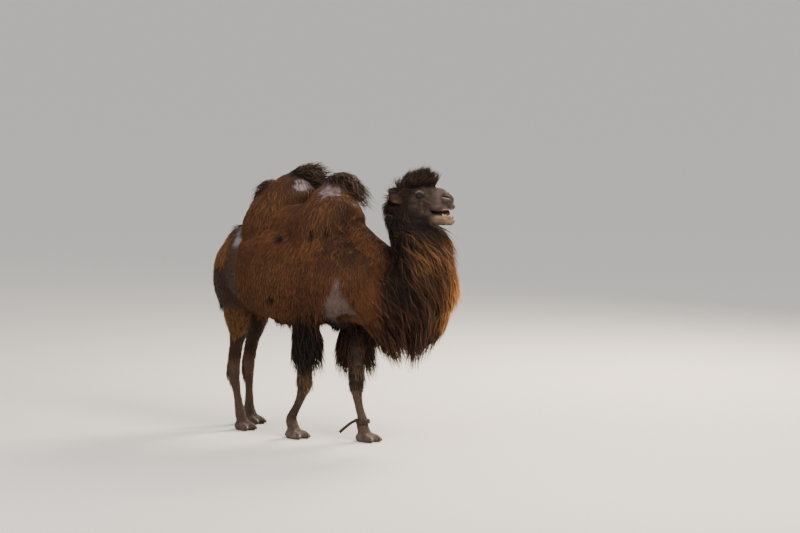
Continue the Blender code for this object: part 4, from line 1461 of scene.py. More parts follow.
    def shanks(self) -> None:
        """The short hair below knees and hocks, the hock tufts and the soles."""
        x, y, z = self.points.T
        leg = self.of(FORELEG, HIND_LEG)
        hind = self.of(HIND_LEG)
        low = (1 - ramp(z, 0.64, 0.69)) * self.of(FORELEG) + (1 - ramp(z, 0.52, 0.66)) * hind
        for name, value in (("reach", 0.012), ("girth", 0.0024), ("stand", 0.16)):
            setattr(self, name, getattr(self, name) * (1 - low) + value * low)
        self.cut(low, curl=0.8)
        self.dye(low * (0.85 + 0.3 * self.mid), root=CANNON)
        self.dye(low * (0.35 + 0.5 * self.mid), tip=TAN)
        self.dye((1 - ramp(z, 0.02, 0.11)) * leg, root=SOLE)
        knee = ramp(z, 0.38, 0.44) * (1 - ramp(z, 0.6, 0.66)) * self.of(FORELEG)
        patchy = self.mid + self.fine
        self.dye(0.6 * knee * ramp(patchy, 0.0, 0.6) * (y < 0), root=TAN)
        self.dye(0.7 * knee * ramp(patchy, 0.2, 0.7) * (y > 0), root=LIP)
        self.dye(0.85 * knee * ramp(-patchy, -0.1, 0.35), root=SOOT)
        self.dye(0.75 * knee, tip=CHEEK)
        foot = (1 - ramp(z, 0.08, 0.14)) * leg
        self.dye(0.55 * foot * ramp(self.fine + 0.5 * self.mid, -0.2, 0.5), root=CHEEK)
        rags = knee * ramp(self.mid + self.fine, 0.0, 0.5)
        self.reach = self.reach + 0.016 * knee + 0.022 * rags
        self.stand = self.stand + 0.25 * knee + 0.2 * rags
        self.swell = knee
        self.knob = leg * ramp(z, 0.34, 0.4) * (1 - ramp(z, 0.56, 0.64)) * ripple(self.points, 0.05, 2.0)
        dark = self.of(FORELEG) * (y < 0) * ramp(z, 0.1, 0.16) * (1 - ramp(z, 0.36, 0.42))
        self.dye(0.6 * dark, root=CHEEK)
        self.dye(0.5 * dark, tip=CHEEK)
        tuft = hind * ramp(z, 0.36, 0.42) * (1 - ramp(z, 0.5, 0.58))
        for hock_x, side in ((-0.64, -1), (-0.8, 1)):
            back = ramp(hock_x + 0.015 - x, 0.0, 0.03) * (np.abs(y - side * HALF_TRACK) < 0.09) * tuft
            self.add(back, reach=0.055, girth=0.002)
            self.dye(back, tip=CHEEK)
        self.cover = self.cover * (1 - (1 - ramp(z, 0.035, 0.07)) * leg)

    def head(self) -> None:
        """The face's colours, its short hair and the dark hair round it, with painted shade in the eye's
        hollow, the nostrils and the mouth, and painted highlights on the brow, the nostrils' rims, the muzzle
        fold and the top of the muzzle.
        """
        f, left, u = self.local.T
        aside = np.abs(left)
        head = self.of(HEAD)
        jowl = ramp(-f, -0.06, 0.06) * ramp(-u, 0.06, 0.12) * head
        cheek = ramp(-f, -0.13, 0.0) * head
        self.dye(0.8 * cheek, root=CHEEK, tip=CHEEK)
        blotch = ripple(self.local, 0.034, 8.0)
        self.dye(0.55 * ramp(blotch, 0.05, 0.8) * head, root=SOOT)
        self.dye(0.4 * ramp(-blotch, 0.05, 0.8) * head, root=PALE_HIDE)
        under = ramp(-u, 0.14, 0.18) * ramp(u, -0.26, -0.21) * ramp(-f, -0.12, -0.05)
        under = under * self.of(HEAD, NECK)
        self.reach = self.reach + 0.025 * under * head
        self.girth = self.girth + 0.0015 * under * head
        self.dye(under, root=BLACK, tip=SOOT)
        self.dye(0.7 * jowl, root=BLACK)
        self.dye(0.8 * jowl, tip=SOOT)
        crown = ramp(u + 0.3 * (-f) + 0.008 * self.fine, 0.058, 0.074) * (1 - ramp(f, 0.11, 0.14)) * head
        crown = crown * (1 - 0.8 * ramp(-f, 0.17, 0.22))
        self.add(crown, reach=0.024, girth=0.0014, stand=0.3)
        rise = crown * ramp(-f, 0.05, 0.13)
        self.add(rise, reach=0.022, stand=0.3)
        self.comb(crown * ramp(f, -0.08, 0.0), np.array(head_way(0.45, 0, -0.6)))
        self.dye(crown, root=BLACK, tip=SOOT)
        behind = ramp(-f + 0.25 * (u + 0.1), 0.075, 0.115) * head
        self.reach = self.reach + (0.014 + 0.018 * ramp(-u, -0.02, 0.04)) * behind + 0.012 * jowl
        self.comb(behind * ramp(-f, 0.11, 0.16), np.array(head_way(-0.3, 0, -1)))
        self.add(behind, girth=0.0022)
        self.stand = self.stand + 0.25 * behind * ramp(-u, -0.02, 0.04)
        self.add(behind, curl=0.28)
        self.dye(behind, root=BLACK, tip=CHEEK)
        flecks = 0.6 * behind * ramp(-f, 0.15, 0.2) * ramp(-u, 0.03, 0.07) * ramp(self.fine, 0.1, 0.6)
        self.dye(flecks, tip=OCHRE)
        inner = bell(self.local * [1, 0, 1], (-0.19, 0, -0.032), (0.044, 1, 0.026)) * (aside > 0.088)
        inner = inner * self.of(EAR)
        self.thin(inner, 0.5)
        self.dye(0.8 * inner, root=CANNON)
        self.dye(inner, tip=CANNON)
        on_side = ramp(aside, 0.012, 0.03) * head
        fold = hill(f - 0.15 - 0.1 * (u + 0.03), 0.026) * ramp(u, -0.12, -0.06) * on_side
        # Painted highlight along the ridge of the muzzle fold.
        self.dye(0.36 * fold, root=PALE_HIDE)
        nose = bell(self.local * [1, 0, 1], (0.232, 0, -0.066), (0.05, 1, 0.044)) * head
        self.dye(0.65 * nose, root=SOOT)
        bridge = ramp(f, 0.13, 0.18) * ramp(u, 0.005, 0.04) * head
        # Painted highlight on the top of the muzzle.
        self.dye(0.25 * bridge, root=PALE_HIDE)
        rim = hill(u + 0.109, 0.007) * ramp(f, 0.17, 0.21) * head
        self.dye(1.1 * rim, root=LIP)
        chin = ramp(-u, 0.15, 0.172) * ramp(f, 0.07, 0.15) * head
        self.dye((0.45 + 0.25 * self.fine) * chin, root=LIP)
        gum = hill(u + 0.176 + 0.18 * (f - 0.2), 0.009) * ramp(f, 0.12, 0.17) * head
        self.dye(gum * (1.1 + 0.5 * self.fine), root=LIP)
        slit = 0.002 - 0.24 * (f - 0.182)
        along = np.clip(1 - ((f - 0.214) / 0.04) ** 2, 0, 1) * on_side
        # Painted shade in the nostril's slit.
        self.dye(1.3 * along * hill(u - slit - 0.001, 0.006), root=BLACK)
        # Painted highlight on the nostril's lit lower rim.
        self.dye(1.6 * along * hill(u - slit + 0.01, 0.0045), root=PALE_HIDE)
        mouth = np.exp(-(((u + 0.13) / 0.014) ** 4)) * ramp(f, 0.08, 0.12) * head
        # Painted shade in the gap of the mouth.
        self.dye(mouth * 1.1, root=BLACK)
        hollow = bell(self.local * [1, 0, 1], (-0.002, 0, 0.012), (0.076, 1, 0.046)) * head
        # Painted shade in the hollow round the eye.
        self.dye(1.2 * hollow, root=BLACK)
        temple = bell(self.local * [1, 0, 1], (0.08, 0, 0.036), (0.05, 1, 0.034)) * head
        self.dye(0.7 * temple, root=SOOT)
        arc = 0.045 - 15 * f * f
        brow = hill(u - arc, 0.0075) * (1 - ramp(np.abs(f), 0.026, 0.04)) * head
        # Painted highlight on the brow above the eye.
        self.dye(brow * (0.75 + 0.3 * self.fine), root=PALE_HIDE)
        eye = np.array([EYE_FORWARD, EYE_ASIDE, EYE_UP])
        near = np.linalg.norm(np.stack([f, aside, u], 1) - eye, axis=1)
        dark = hill(near - 0.024, 0.006) * (u < EYE_UP + 0.014) * head
        self.dye(0.8 * dark, root=BLACK)
        face = (head * (1 - behind) * (1 - crown) * (1 - under))[:, None]
        self.tip = self.tip * (1 - face) + 1.1 * self.root * face
        bare = (1 - ramp(near, 0.03, 0.042)) + ramp(f, 0.19, 0.23)
        self.cover = self.cover * (1 - np.clip(bare, 0, 1) * head)

    def store(self, mesh: Mesh) -> None:
        """Stores the map on the skin's mesh.

        Args:
            mesh: the skin's mesh.
        """
        # Painted shade: the skin darkens where the coat over it is thick and long.
        thick = np.clip(self.cover, 0, 1)[:, None]
        shaded_skin_tone = self.root * (1 - 0.45 * thick * ramp(self.reach, 0.015, 0.04)[:, None])
        mark(mesh, "lie", unit(self.lie), "FLOAT_VECTOR")
        for name in ("reach", "girth", "stand", "droop", "curl"):
            mark(mesh, name, np.maximum(getattr(self, name), 0), "FLOAT")
        for name, values in (("tone", shaded_skin_tone), ("root", self.root), ("tip", self.tip)):
            mark(mesh, name, values)


@dataclass
class Unwrap:
    """An unwrap of the skin: every part of the body is cut open along its own axis and laid in one cell.

    Attributes:
        cells: how many cells lie side by side.
        margin: the share of a cell left free round its part.
    """

    cells: int = 4
    margin: float = 0.03

    def parts(self, points: np.ndarray, share: np.ndarray) -> np.ndarray:
        """The number of the cell for each corner of the skin.

        Args:
            points: the skin's corners.
            share: each corner's share in every region.

        Returns:
            The numbers, from 0 to 15.
        """
        label = share.argmax(1)
        x, y = points[:, 0], points[:, 1]
        left = in_head(points)[:, 1] > 0
        cell = label.copy()
        cell[(label == HUMP.value) & (x > 0.05)] = 12
        cell[(label == FORELEG.value) & (y > 0)] = 13
        cell[(label == HIND_LEG.value) & (y > 0)] = 14
        cell[(label == EAR.value) & left] = 15
        return cell

    def store(self, mesh: Mesh, share: np.ndarray) -> None:
        """Adds the unwrap to the mesh as its map OFBake.

        Args:
            mesh: the skin's mesh.
            share: each corner's share in every region.
        """
        points = points_of(mesh)
        cell = self.parts(points, share)
        lying = (TRUNK.value, WITHERS.value, HEAD.value, TOPKNOT.value)
        corners = np.empty(len(mesh.loops), np.int32)
        mesh.loops.foreach_get("vertex_index", corners)
        counts = np.empty(len(mesh.polygons), np.int32)
        mesh.polygons.foreach_get("loop_total", counts)
        first = np.repeat(np.concatenate([[0], np.cumsum(counts)[:-1]]), counts)
        owner = cell[corners[first]]
        spots = points[corners]
        flat = np.zeros((len(corners), 2))
        for part in np.unique(owner):
            chosen = owner == part
            own = spots[chosen]
            middle = (own.min(0) + own.max(0)) / 2
            away = own - middle
            if part in lying:
                turn, along = np.arctan2(away[:, 1], -away[:, 2]), away[:, 0]
            else:
                turn, along = np.arctan2(away[:, 1], away[:, 0]), away[:, 2]
            flat[chosen, 0] = turn / (2 * math.pi)
            flat[chosen, 1] = (along - along.min()) / max(np.ptp(along), 1e-6)
        jump = flat[:, 0] - flat[first, 0]
        flat[:, 0] -= np.round(jump)
        flat[:, 0] = np.clip(flat[:, 0] + 0.5, 0, 1)
        flat = self.margin + flat * (1 - 2 * self.margin)
        flat[:, 0] = (flat[:, 0] + owner % self.cells) / self.cells
        flat[:, 1] = (flat[:, 1] + owner // self.cells) / self.cells
        layer = mesh.uv_layers.new(name="OFBake")
        layer.data.foreach_set("uv", flat.astype(np.float32).ravel())


# ---- coat


@dataclass(frozen=True)
class StrandFinish:
    """Hair, coloured by its own root and tip, and darkened towards the roots as painted shade between the
    tufts.

    Attributes:
        name: the material's name.
        roughness: how matt it is.
        root_shade: how dark a tuft is at its root, a painted shade between the tufts.
        spread: how much lighter or darker one tuft is than the next.
        lock_spread: how much lighter or darker one lock of tufts is than the next.
        rarity: how few of the tufts are the light ones.
    """

    name: str
    roughness: float = 0.62
    root_shade: float = 0.35
    spread: float = 0.35
    lock_spread: float = 0.2
    rarity: float = 1.0

    def material(self) -> Material:
        """Makes the finish.

        Returns:
            The finish as a material.
        """
        made, tree, shader = new_material(self.name)
        names = ("root", "tip", "along", "luck", "lock")
        root, tip, along, luck, lock = (add_node(tree, MARK, attribute_name=name) for name in names)
        root, tip, along, luck, lock = root["Color"], tip["Color"], along["Fac"], luck["Fac"], lock["Fac"]
        blend = add_node(tree, RANGE, {"Value": along, 1: 0.15, 2: 0.9})[0]
        colour = add_node(tree, "ShaderNodeMix", {0: blend, 6: root, 7: tip}, data_type="RGBA")[2]
        # Painted shade: each tuft darkens towards its root, where the tufts would shade each other.
        shade = add_node(tree, RANGE, {"Value": along, 2: 0.7, 3: self.root_shade, 4: 1.0})[0]
        rare = add_node(tree, MATH, (luck, self.rarity), operation="POWER")[0]
        lightest = 1 + self.rarity * self.spread
        vary = add_node(tree, RANGE, {"Value": rare, 3: 1 - self.spread, 4: lightest})[0]
        locks = add_node(tree, RANGE, {"Value": lock, 3: 1 - self.lock_spread, 4: 1 + self.lock_spread})[0]
        each = add_node(tree, MATH, (locks, vary), operation="MULTIPLY")[0]
        both = add_node(tree, MATH, (shade, each), operation="MULTIPLY")[0]
        final = add_node(tree, VECTOR, (colour, both), operation="MULTIPLY")[0]
        feed(tree, shader, {"Base Color": final, "Roughness": self.roughness, "Specular IOR Level": 0.16})
        return made


class GrowTree:
    """The node tree that grows tufts on a skin, as joined mesh.

    Each tuft starts as a line on a scattered root. Its lie, rise, droop and wave bend it, and its lock pulls
    it. A flat triangle swept along it gives it thickness.
    """

    def __init__(self) -> None:
        """Makes the tree's inputs, reads its attributes and lays its nodes."""
        self.tree = bpy.data.node_groups.new("grow_tufts", "GeometryNodeTree")
        face = self.tree.interface
        face.new_socket("Skin", in_out="INPUT", socket_type="NodeSocketGeometry")
        for name, kind, value in (
            ("Density", "Float", 1000.0), ("Seed", "Int", 1), ("Steps", "Int", 5),
            ("Clump Size", "Float", 0.04), ("Clump", "Float", 0.3), ("Length", "Float", 1.0),
            ("Finish", "Material", None),
        ):
            socket = face.new_socket(name, in_out="INPUT", socket_type="NodeSocket" + kind)
            if value is not None:
                socket.default_value = value
        face.new_socket("Coat", in_out="OUTPUT", socket_type="NodeSocketGeometry")
        given = self.tree.nodes.new("NodeGroupInput").outputs
        self.own = {socket.name: socket for socket in given}
        numbers = ("cover", "reach", "girth", "stand", "droop", "curl", "luck", "along", "across")
        vectors = ("seat", "outward", "dice", "lie", "patch", "centre", "OFBake")
        for names, kind in ((numbers, "FLOAT"), (vectors, "FLOAT_VECTOR")):
            for name in names:
                self.own[name] = self.add(READ, {"Name": name}, data_type=kind)[0]
        self.build()

    def add(self, kind: str, inputs: dict | tuple = (), **settings) -> NodeOutputs:
        """Adds a node to the tree and gives its outputs."""
        return add_node(self.tree, kind, inputs, **settings)

    def work(self, *steps: tuple) -> NodeSocket:
        """Adds a node of arithmetic for each step.

        Args:
            steps: the name of the result, the node's kind, its operation and what feeds it: plain values, or
                names of earlier results, attributes or inputs. From the third feed on, each takes a further
                node.

        Returns:
            The last result.
        """
        for name, kind, operation, *feeds in steps:
            first, *others = (self.own[feed] if isinstance(feed, str) else feed for feed in feeds)
            for i in range(max(len(others), 1)):
                made = self.add(kind, (first, *others[i : i + 1]), operation=operation)
                first = made["Value" if operation == "DOT_PRODUCT" else 0]
            self.own[name] = first
        return self.own[steps[-1][0]]

    def build(self) -> None:
        """Lays the whole tree."""
        own = self.own
        wanted = self.work(("wanted", MATH, "MULTIPLY", "Density", "cover"))
        scatter = {"Mesh": own["Skin"], "Density": wanted, "Seed": own["Seed"]}
        spread = self.add("GeometryNodeDistributePointsOnFaces", scatter)
        own["here"] = self.add("GeometryNodeInputPosition")[0]
        chance = self.add("ShaderNodeTexWhiteNoise", {"Vector": own["here"]})
        place = self.work(("cell", VECTOR, "DIVIDE", "here", "Clump Size"))
        cell = self.add("ShaderNodeTexVoronoi", {"Vector": place, "Scale": 1.0})
        own["cell"] = cell["Position"]
        centre = self.work(("middle", VECTOR, "MULTIPLY", "cell", "Clump Size"))
        tufts = spread["Points"]
        for name, value, kind in (
            ("seat", own["here"], "FLOAT_VECTOR"), ("outward", spread["Normal"], "FLOAT_VECTOR"),
            ("luck", chance["Value"], "FLOAT"), ("dice", chance["Color"], "FLOAT_VECTOR"),
            ("patch", own["OFBake"], "FLOAT_VECTOR"), ("centre", centre, "FLOAT_VECTOR"),
            ("lock", self.add("ShaderNodeSeparateXYZ", (cell["Color"],))[0], "FLOAT"),
        ):
            tufts = self.add(STORE, {"Geometry": tufts, "Name": name, "Value": value}, data_type=kind)[0]
        line = self.add("GeometryNodeCurvePrimitiveLine")[0]
        line = self.add("GeometryNodeResampleCurve", {"Curve": line, "Count": own["Steps"]})[0]
        tufts = self.add("GeometryNodeInstanceOnPoints", {"Points": tufts, "Instance": line})[0]
        tufts = self.add("GeometryNodeRealizeInstances", {"Geometry": tufts})[0]
        factor = self.add("GeometryNodeSplineParameter")["Factor"]
        inputs = {"Geometry": tufts, "Name": "along", "Value": factor}
        tufts = self.add(STORE, inputs, data_type="FLOAT")[0]
        for place in (self.path(), self.lifted()):
            tufts = self.add("GeometryNodeSetPosition", {"Geometry": tufts, "Position": place})[0]
        inputs = {"Curve": tufts, "Normal": own["outward"]}
        tufts = self.add("GeometryNodeSetCurveNormal", inputs, mode="FREE")[0]
        self.finish(tufts)

    def path(self) -> NodeSocket:
        """Where each point of a tuft lies, before it is lifted clear of the skin.

        Returns:
            The place.
        """
        ripples = {"Vector": self.own["seat"], "Scale": 9.0, "Detail": 1.0}
        self.own["phase"] = self.add(NOISE, ripples)[0]
        return self.work(
            ("strew", VECTOR, "SUBTRACT", "dice", (0.5, 0.5, 0.5)),
            ("strew", VECTOR, "MULTIPLY", "strew", (0.45, 0.45, 0.45)),
            ("way", VECTOR, "ADD", "lie", "strew"),
            ("inward", VECTOR, "DOT_PRODUCT", "way", "outward"),
            ("inward", MATH, "MINIMUM", "inward", 0.0),
            ("inward", VECTOR, "MULTIPLY", "outward", "inward"),
            ("way", VECTOR, "SUBTRACT", "way", "inward"),
            ("way", VECTOR, "NORMALIZE", "way"),
            ("share", MATH, "MULTIPLY", "luck", 0.7),
            ("share", MATH, "ADD", 0.65, "share"),
            ("length", MATH, "MULTIPLY", "reach", "Length", "share"),
            ("gone", MATH, "MULTIPLY", "length", "along"),
            ("square", MATH, "MULTIPLY", "along", "along"),
            ("rooted", VECTOR, "MULTIPLY", "outward", (0.004, 0.004, 0.004)),
            ("place", VECTOR, "SUBTRACT", "seat", "rooted"),
            ("forward", VECTOR, "MULTIPLY", "way", "gone"),
            ("rise", MATH, "MULTIPLY", "square", 0.45),
            ("rise", MATH, "SUBTRACT", "along", "rise"),
            ("rise", MATH, "MULTIPLY", "rise", "length", "stand"),
            ("raised", VECTOR, "MULTIPLY", "outward", "rise"),
            ("place", VECTOR, "ADD", "place", "forward", "raised"),
            ("sink", MATH, "MULTIPLY", "square", "length", "droop"),
            ("sunk", VECTOR, "MULTIPLY", (0.0, 0.0, 1.0), "sink"),
            ("place", VECTOR, "SUBTRACT", "place", "sunk"),
            ("phase", MATH, "MULTIPLY", "phase", 26.0),
            ("own phase", MATH, "MULTIPLY", "luck", 2.4),
            ("phase", MATH, "ADD", "phase", "own phase"),
            ("waves", MATH, "MULTIPLY", "along", 5.5),
            ("swing", MATH, "ADD", "phase", "waves"),
            ("swing", MATH, "SINE", "swing"),
            ("swing", MATH, "MULTIPLY", "swing", "gone", "curl"),
            ("aside", VECTOR, "CROSS_PRODUCT", "outward", "way"),
            ("aside", VECTOR, "MULTIPLY", "aside", "swing"),
            ("pull", VECTOR, "SUBTRACT", "centre", "seat"),
            ("lift", VECTOR, "DOT_PRODUCT", "pull", "outward"),
            ("lift", VECTOR, "MULTIPLY", "outward", "lift"),
            ("pull", VECTOR, "SUBTRACT", "pull", "lift"),
            ("share", MATH, "POWER", "along", 1.3),
            ("share", MATH, "MULTIPLY", "share", "Clump"),
            ("pull", VECTOR, "MULTIPLY", "pull", "share"),
            ("place", VECTOR, "ADD", "place", "aside", "pull"),
        )

    def lifted(self) -> NodeSocket:
        """Each point of a tuft, moved out where it would sink into the skin.

        Returns:
            The place.
        """
        own = self.own
        for name, source in (("near", "GeometryNodeInputPosition"), ("away", "GeometryNodeInputNormal")):
            inputs = {"Mesh": own["Skin"], "Value": self.add(source)[0], "Sample Position": own["here"]}
            own[name] = self.add("GeometryNodeSampleNearestSurface", inputs, data_type="FLOAT_VECTOR")[0]
        return self.work(
            ("height", VECTOR, "SUBTRACT", "here", "near"),
            ("height", VECTOR, "DOT_PRODUCT", "height", "away"),
            ("least", MATH, "MULTIPLY", "along", 3.2),
            ("least", MATH, "ADD", "least", -0.7),
            ("least", MATH, "MULTIPLY", "least", "girth"),
            ("lack", MATH, "SUBTRACT", "least", "height"),
            ("lack", MATH, "MAXIMUM", "lack", 0.0),
            ("lift", VECTOR, "MULTIPLY", "away", "lack"),
            ("place", VECTOR, "ADD", "here", "lift"),
        )

    def finish(self, tufts: NodeSocket) -> None:
        """Gives the tufts their thickness, their map and their material.

        Args:
            tufts: the tufts as curves.
        """
        own = self.own
        width = self.work(
            ("taper", MATH, "SUBTRACT", 1.02, "along"),
            ("taper", MATH, "POWER", "taper", 0.75),
            ("swell", MATH, "MULTIPLY", "along", 2.5),
            ("swell", MATH, "MINIMUM", "swell", 0.45),
            ("swell", MATH, "ADD", 0.55, "swell"),
            ("share", MATH, "MULTIPLY", "luck", 0.6),
            ("share", MATH, "ADD", 0.7, "share"),
            ("width", MATH, "MULTIPLY", "taper", "swell", "girth", "share"),
        )
        ring = self.add("GeometryNodeCurvePrimitiveCircle", {"Resolution": 3, "Radius": 1.0})[0]
        ring = self.add("GeometryNodeTransform", {"Geometry": ring, "Scale": (0.5, 1.0, 1.0)})[0]
        own["corner"] = self.add("GeometryNodeInputIndex")[0]
        across = self.work(("corner", MATH, "MULTIPLY", "corner", 0.5))
        ring = self.add(STORE, {"Geometry": ring, "Name": "across", "Value": across}, data_type="FLOAT")[0]
        sweep = {"Curve": tufts, "Profile Curve": ring, "Scale": width, "Fill Caps": True}
        mesh = self.add("GeometryNodeCurveToMesh", sweep)[0]
        shift = tuple(self.work(("shift", MATH, "SUBTRACT", name, 0.5)) for name in ("across", "along"))
        own["shift"] = self.add("ShaderNodeCombineXYZ", shift)[0]
        spot = self.work(
            ("shift", VECTOR, "MULTIPLY", "shift", (0.003, 0.003, 0.003)),
            ("spot", VECTOR, "ADD", "patch", "shift"),
        )
        inputs = {"Geometry": mesh, "Name": "OFBake", "Value": spot}
        mesh = self.add(STORE, inputs, data_type="FLOAT2", domain="CORNER")[0]
        mesh = self.add("GeometryNodeSetShadeSmooth", {"Geometry": mesh})[0]
        mesh = self.add("GeometryNodeRealizeInstances", {"Geometry": mesh})[0]
        mesh = self.add("GeometryNodeSetMaterial", {"Geometry": mesh, "Material": own["Finish"]})[0]
        self.tree.links.new(mesh, self.tree.nodes.new("NodeGroupOutput").inputs[0])


@dataclass
class CoatPiece:
    """One joined piece of coat.

    Attributes:
        name: the piece's name.
        cover: where it grows, as a share for every corner of the skin.
        count: about how many tufts it has.
        steps: points along a tuft.
        seed: the seed of its scatter.
        clump_size: how far apart its locks lie, in metres.
        clump: how strongly tufts gather into locks.
        finish: what it is made of.
        slot: a label for the piece's kind of finish, handed back with the piece.
    """

    name: str
    cover: np.ndarray
    count: int
    steps: int
    seed: int
    clump_size: float
    clump: float
    finish: Material
    slot: str

    def grow(self, skin: Object, tree: NodeTree, area: np.ndarray) -> Object:
        """Grows the piece on the skin.

        Args:
            skin: the skin with its map.
            tree: the growing tree.
            area: each corner's share of the skin's area.

        Returns:
            The piece, with its tufts as plain mesh.
        """
        made = skin.copy()
        made.data = skin.data.copy()
        made.name = made.data.name = self.name
        bpy.context.scene.collection.objects.link(made)
        mark(made.data, "cover", self.cover, "FLOAT")
        density = self.count / max(float((self.cover * area).sum()), 1e-6)
        grow = made.modifiers.new("grow", "NODES")
        grow.node_group = tree
        values = {"Density": density, "Seed": self.seed, "Steps": self.steps, "Clump Size": self.clump_size,
                  "Clump": self.clump, "Length": 1.0, "Finish": self.finish}
        for item in tree.interface.items_tree:
            if item.in_out == "INPUT" and item.name in values:
                grow[item.identifier] = values[item.name]
        bake_modifiers(made)
        for name in ("seat", "outward", "dice", "patch", "centre", "lie", "reach", "girth", "stand", "droop",
                     "curl", "cover", "across", "tone"):
            found = made.data.attributes.get(name)
            if found:
                made.data.attributes.remove(found)
        faces = sum(len(p.vertices) - 2 for p in made.data.polygons)
        LOG.info("%s: %d triangles", self.name, faces)
        return made


def corner_areas(mesh: Mesh) -> np.ndarray:
    """The area of skin that belongs to each corner.

    Args:
        mesh: the skin's mesh.

    Returns:
        An area for each corner, in square metres.
    """
    total = np.zeros(len(mesh.vertices))
    for face in mesh.polygons:
        part = face.area / len(face.vertices)
        for i in face.vertices:
            total[i] += part
    return total


# ---- pieces


@dataclass(frozen=True)
class TonedFinish:
    """A plain finish, coloured by the mesh's tone.

    Attributes:
        name: the material's name.
        roughness: how matt it is.
        specular: how strongly it reflects.
        gloss: weight of a wet or polished layer over it.
        grain: size of its grain, in metres.
        depth: depth of its grain, in metres.
    """

    name: str
    roughness: float = 0.6
    specular: float = 0.4
    gloss: float = 0.0
    grain: float = 0.003
    depth: float = 0.0005

    def material(self) -> Material:
        """Makes the finish.

        Returns:
            The finish as a material.
        """
        made, tree, shader = new_material(self.name)
        place = add_node(tree, "ShaderNodeTexCoord")["Object"]
        tone = add_node(tree, MARK, attribute_name="tone")["Color"]
        grain = add_node(tree, NOISE, {"Vector": place, "Scale": 1 / self.grain, "Detail": 3.0})[0]
        shade = add_node(tree, RANGE, {"Value": grain, 3: 0.8, 4: 1.2})[0]
        colour = add_node(tree, VECTOR, (tone, shade), operation="MULTIPLY")[0]
        if self.depth:
            bump = add_node(tree, BUMP, {"Height": grain, "Strength": 1.0, "Distance": self.depth})[0]
            feed(tree, shader, {"Normal": bump})
        inputs = {"Base Color": colour, "Roughness": self.roughness, "Specular IOR Level": self.specular,
                  "Coat Weight": self.gloss, "Coat Roughness": 0.03}
        feed(tree, shader, inputs)
        return made


def toned_piece(name: str, shells: list[Shell], tone: np.ndarray, material: Material) -> Object:
    """A smooth object in a toned finish.

    Args:
        name: its name.
        shells: its shells.
        tone: a colour for each of their corners.
        material: what it is made of.

    Returns:
        The object.
    """
    made = new_object(name, shells)
    made.data.shade_smooth()
    mark(made.data, "tone", tone)
    made.data.materials.append(material)
    return made


@dataclass
class Eyes:
    """Both eyeballs, dark brown, with the long level pupil of the species.

    Attributes:
        pupil: half the width and half the height of the pupil, as angles.
        iris: the iris's radius, as an angle.
        cornea: how far the front of the eye bulges, in metres.
        finish: what they are made of.
    """

    pupil: tuple[float, float] = (0.34, 0.17)
    iris: float = 0.66
    cornea: float = 0.0012
    finish: TonedFinish = TonedFinish("eyeball_wet", 0.25, 0.35, 0.1, 0.001, 0.0)

    def build(self, material: Material) -> list[tuple[Object, str]]:
        """Builds both eyes, each with the node that it stands for.

        Args:
            material: what they are made of.

        Returns:
            Each eye and its node.
        """
        made = []
        for side, word in ((-1, "right"), (1, "left")):
            centre = head_point(EYE_FORWARD, side * EYE_ASIDE, EYE_UP)
            shell = blob(centre, (EYE_RADIUS,) * 3, HEAD, segments=48)
            ray = unit(in_head(shell.points) - [EYE_FORWARD, side * EYE_ASIDE, EYE_UP])
            gaze = unit(np.array([0.22, side, 0.02]))
            across, rise = ray[:, 0] - 0.22, ray[:, 2] - 0.02
            angle = np.arccos(np.clip(ray @ gaze, -1, 1))
            shell.points += (ray @ np.array(HEAD_TURN).T) * (self.cornea * hill(angle, 0.6))[:, None]
            tone = mixed(CHEEK.rgb, SABLE, (angle < self.iris) * (0.5 + 0.5 * ramp(angle, 0.2, 0.55)))
            tone = mixed(tone, BLACK, hill(angle - self.iris, 0.06))
            wide, high = self.pupil
            hole = (across / wide) ** 2 + (rise / high) ** 2
            tone = mixed(tone, np.zeros(3) + 0.002, (ramp(-hole, -1.1, -0.9)) * (ray[:, 1] * side > 0))
            made.append((toned_piece("eyeball_" + word, [shell], tone, material), "eye_" + word))
        return made


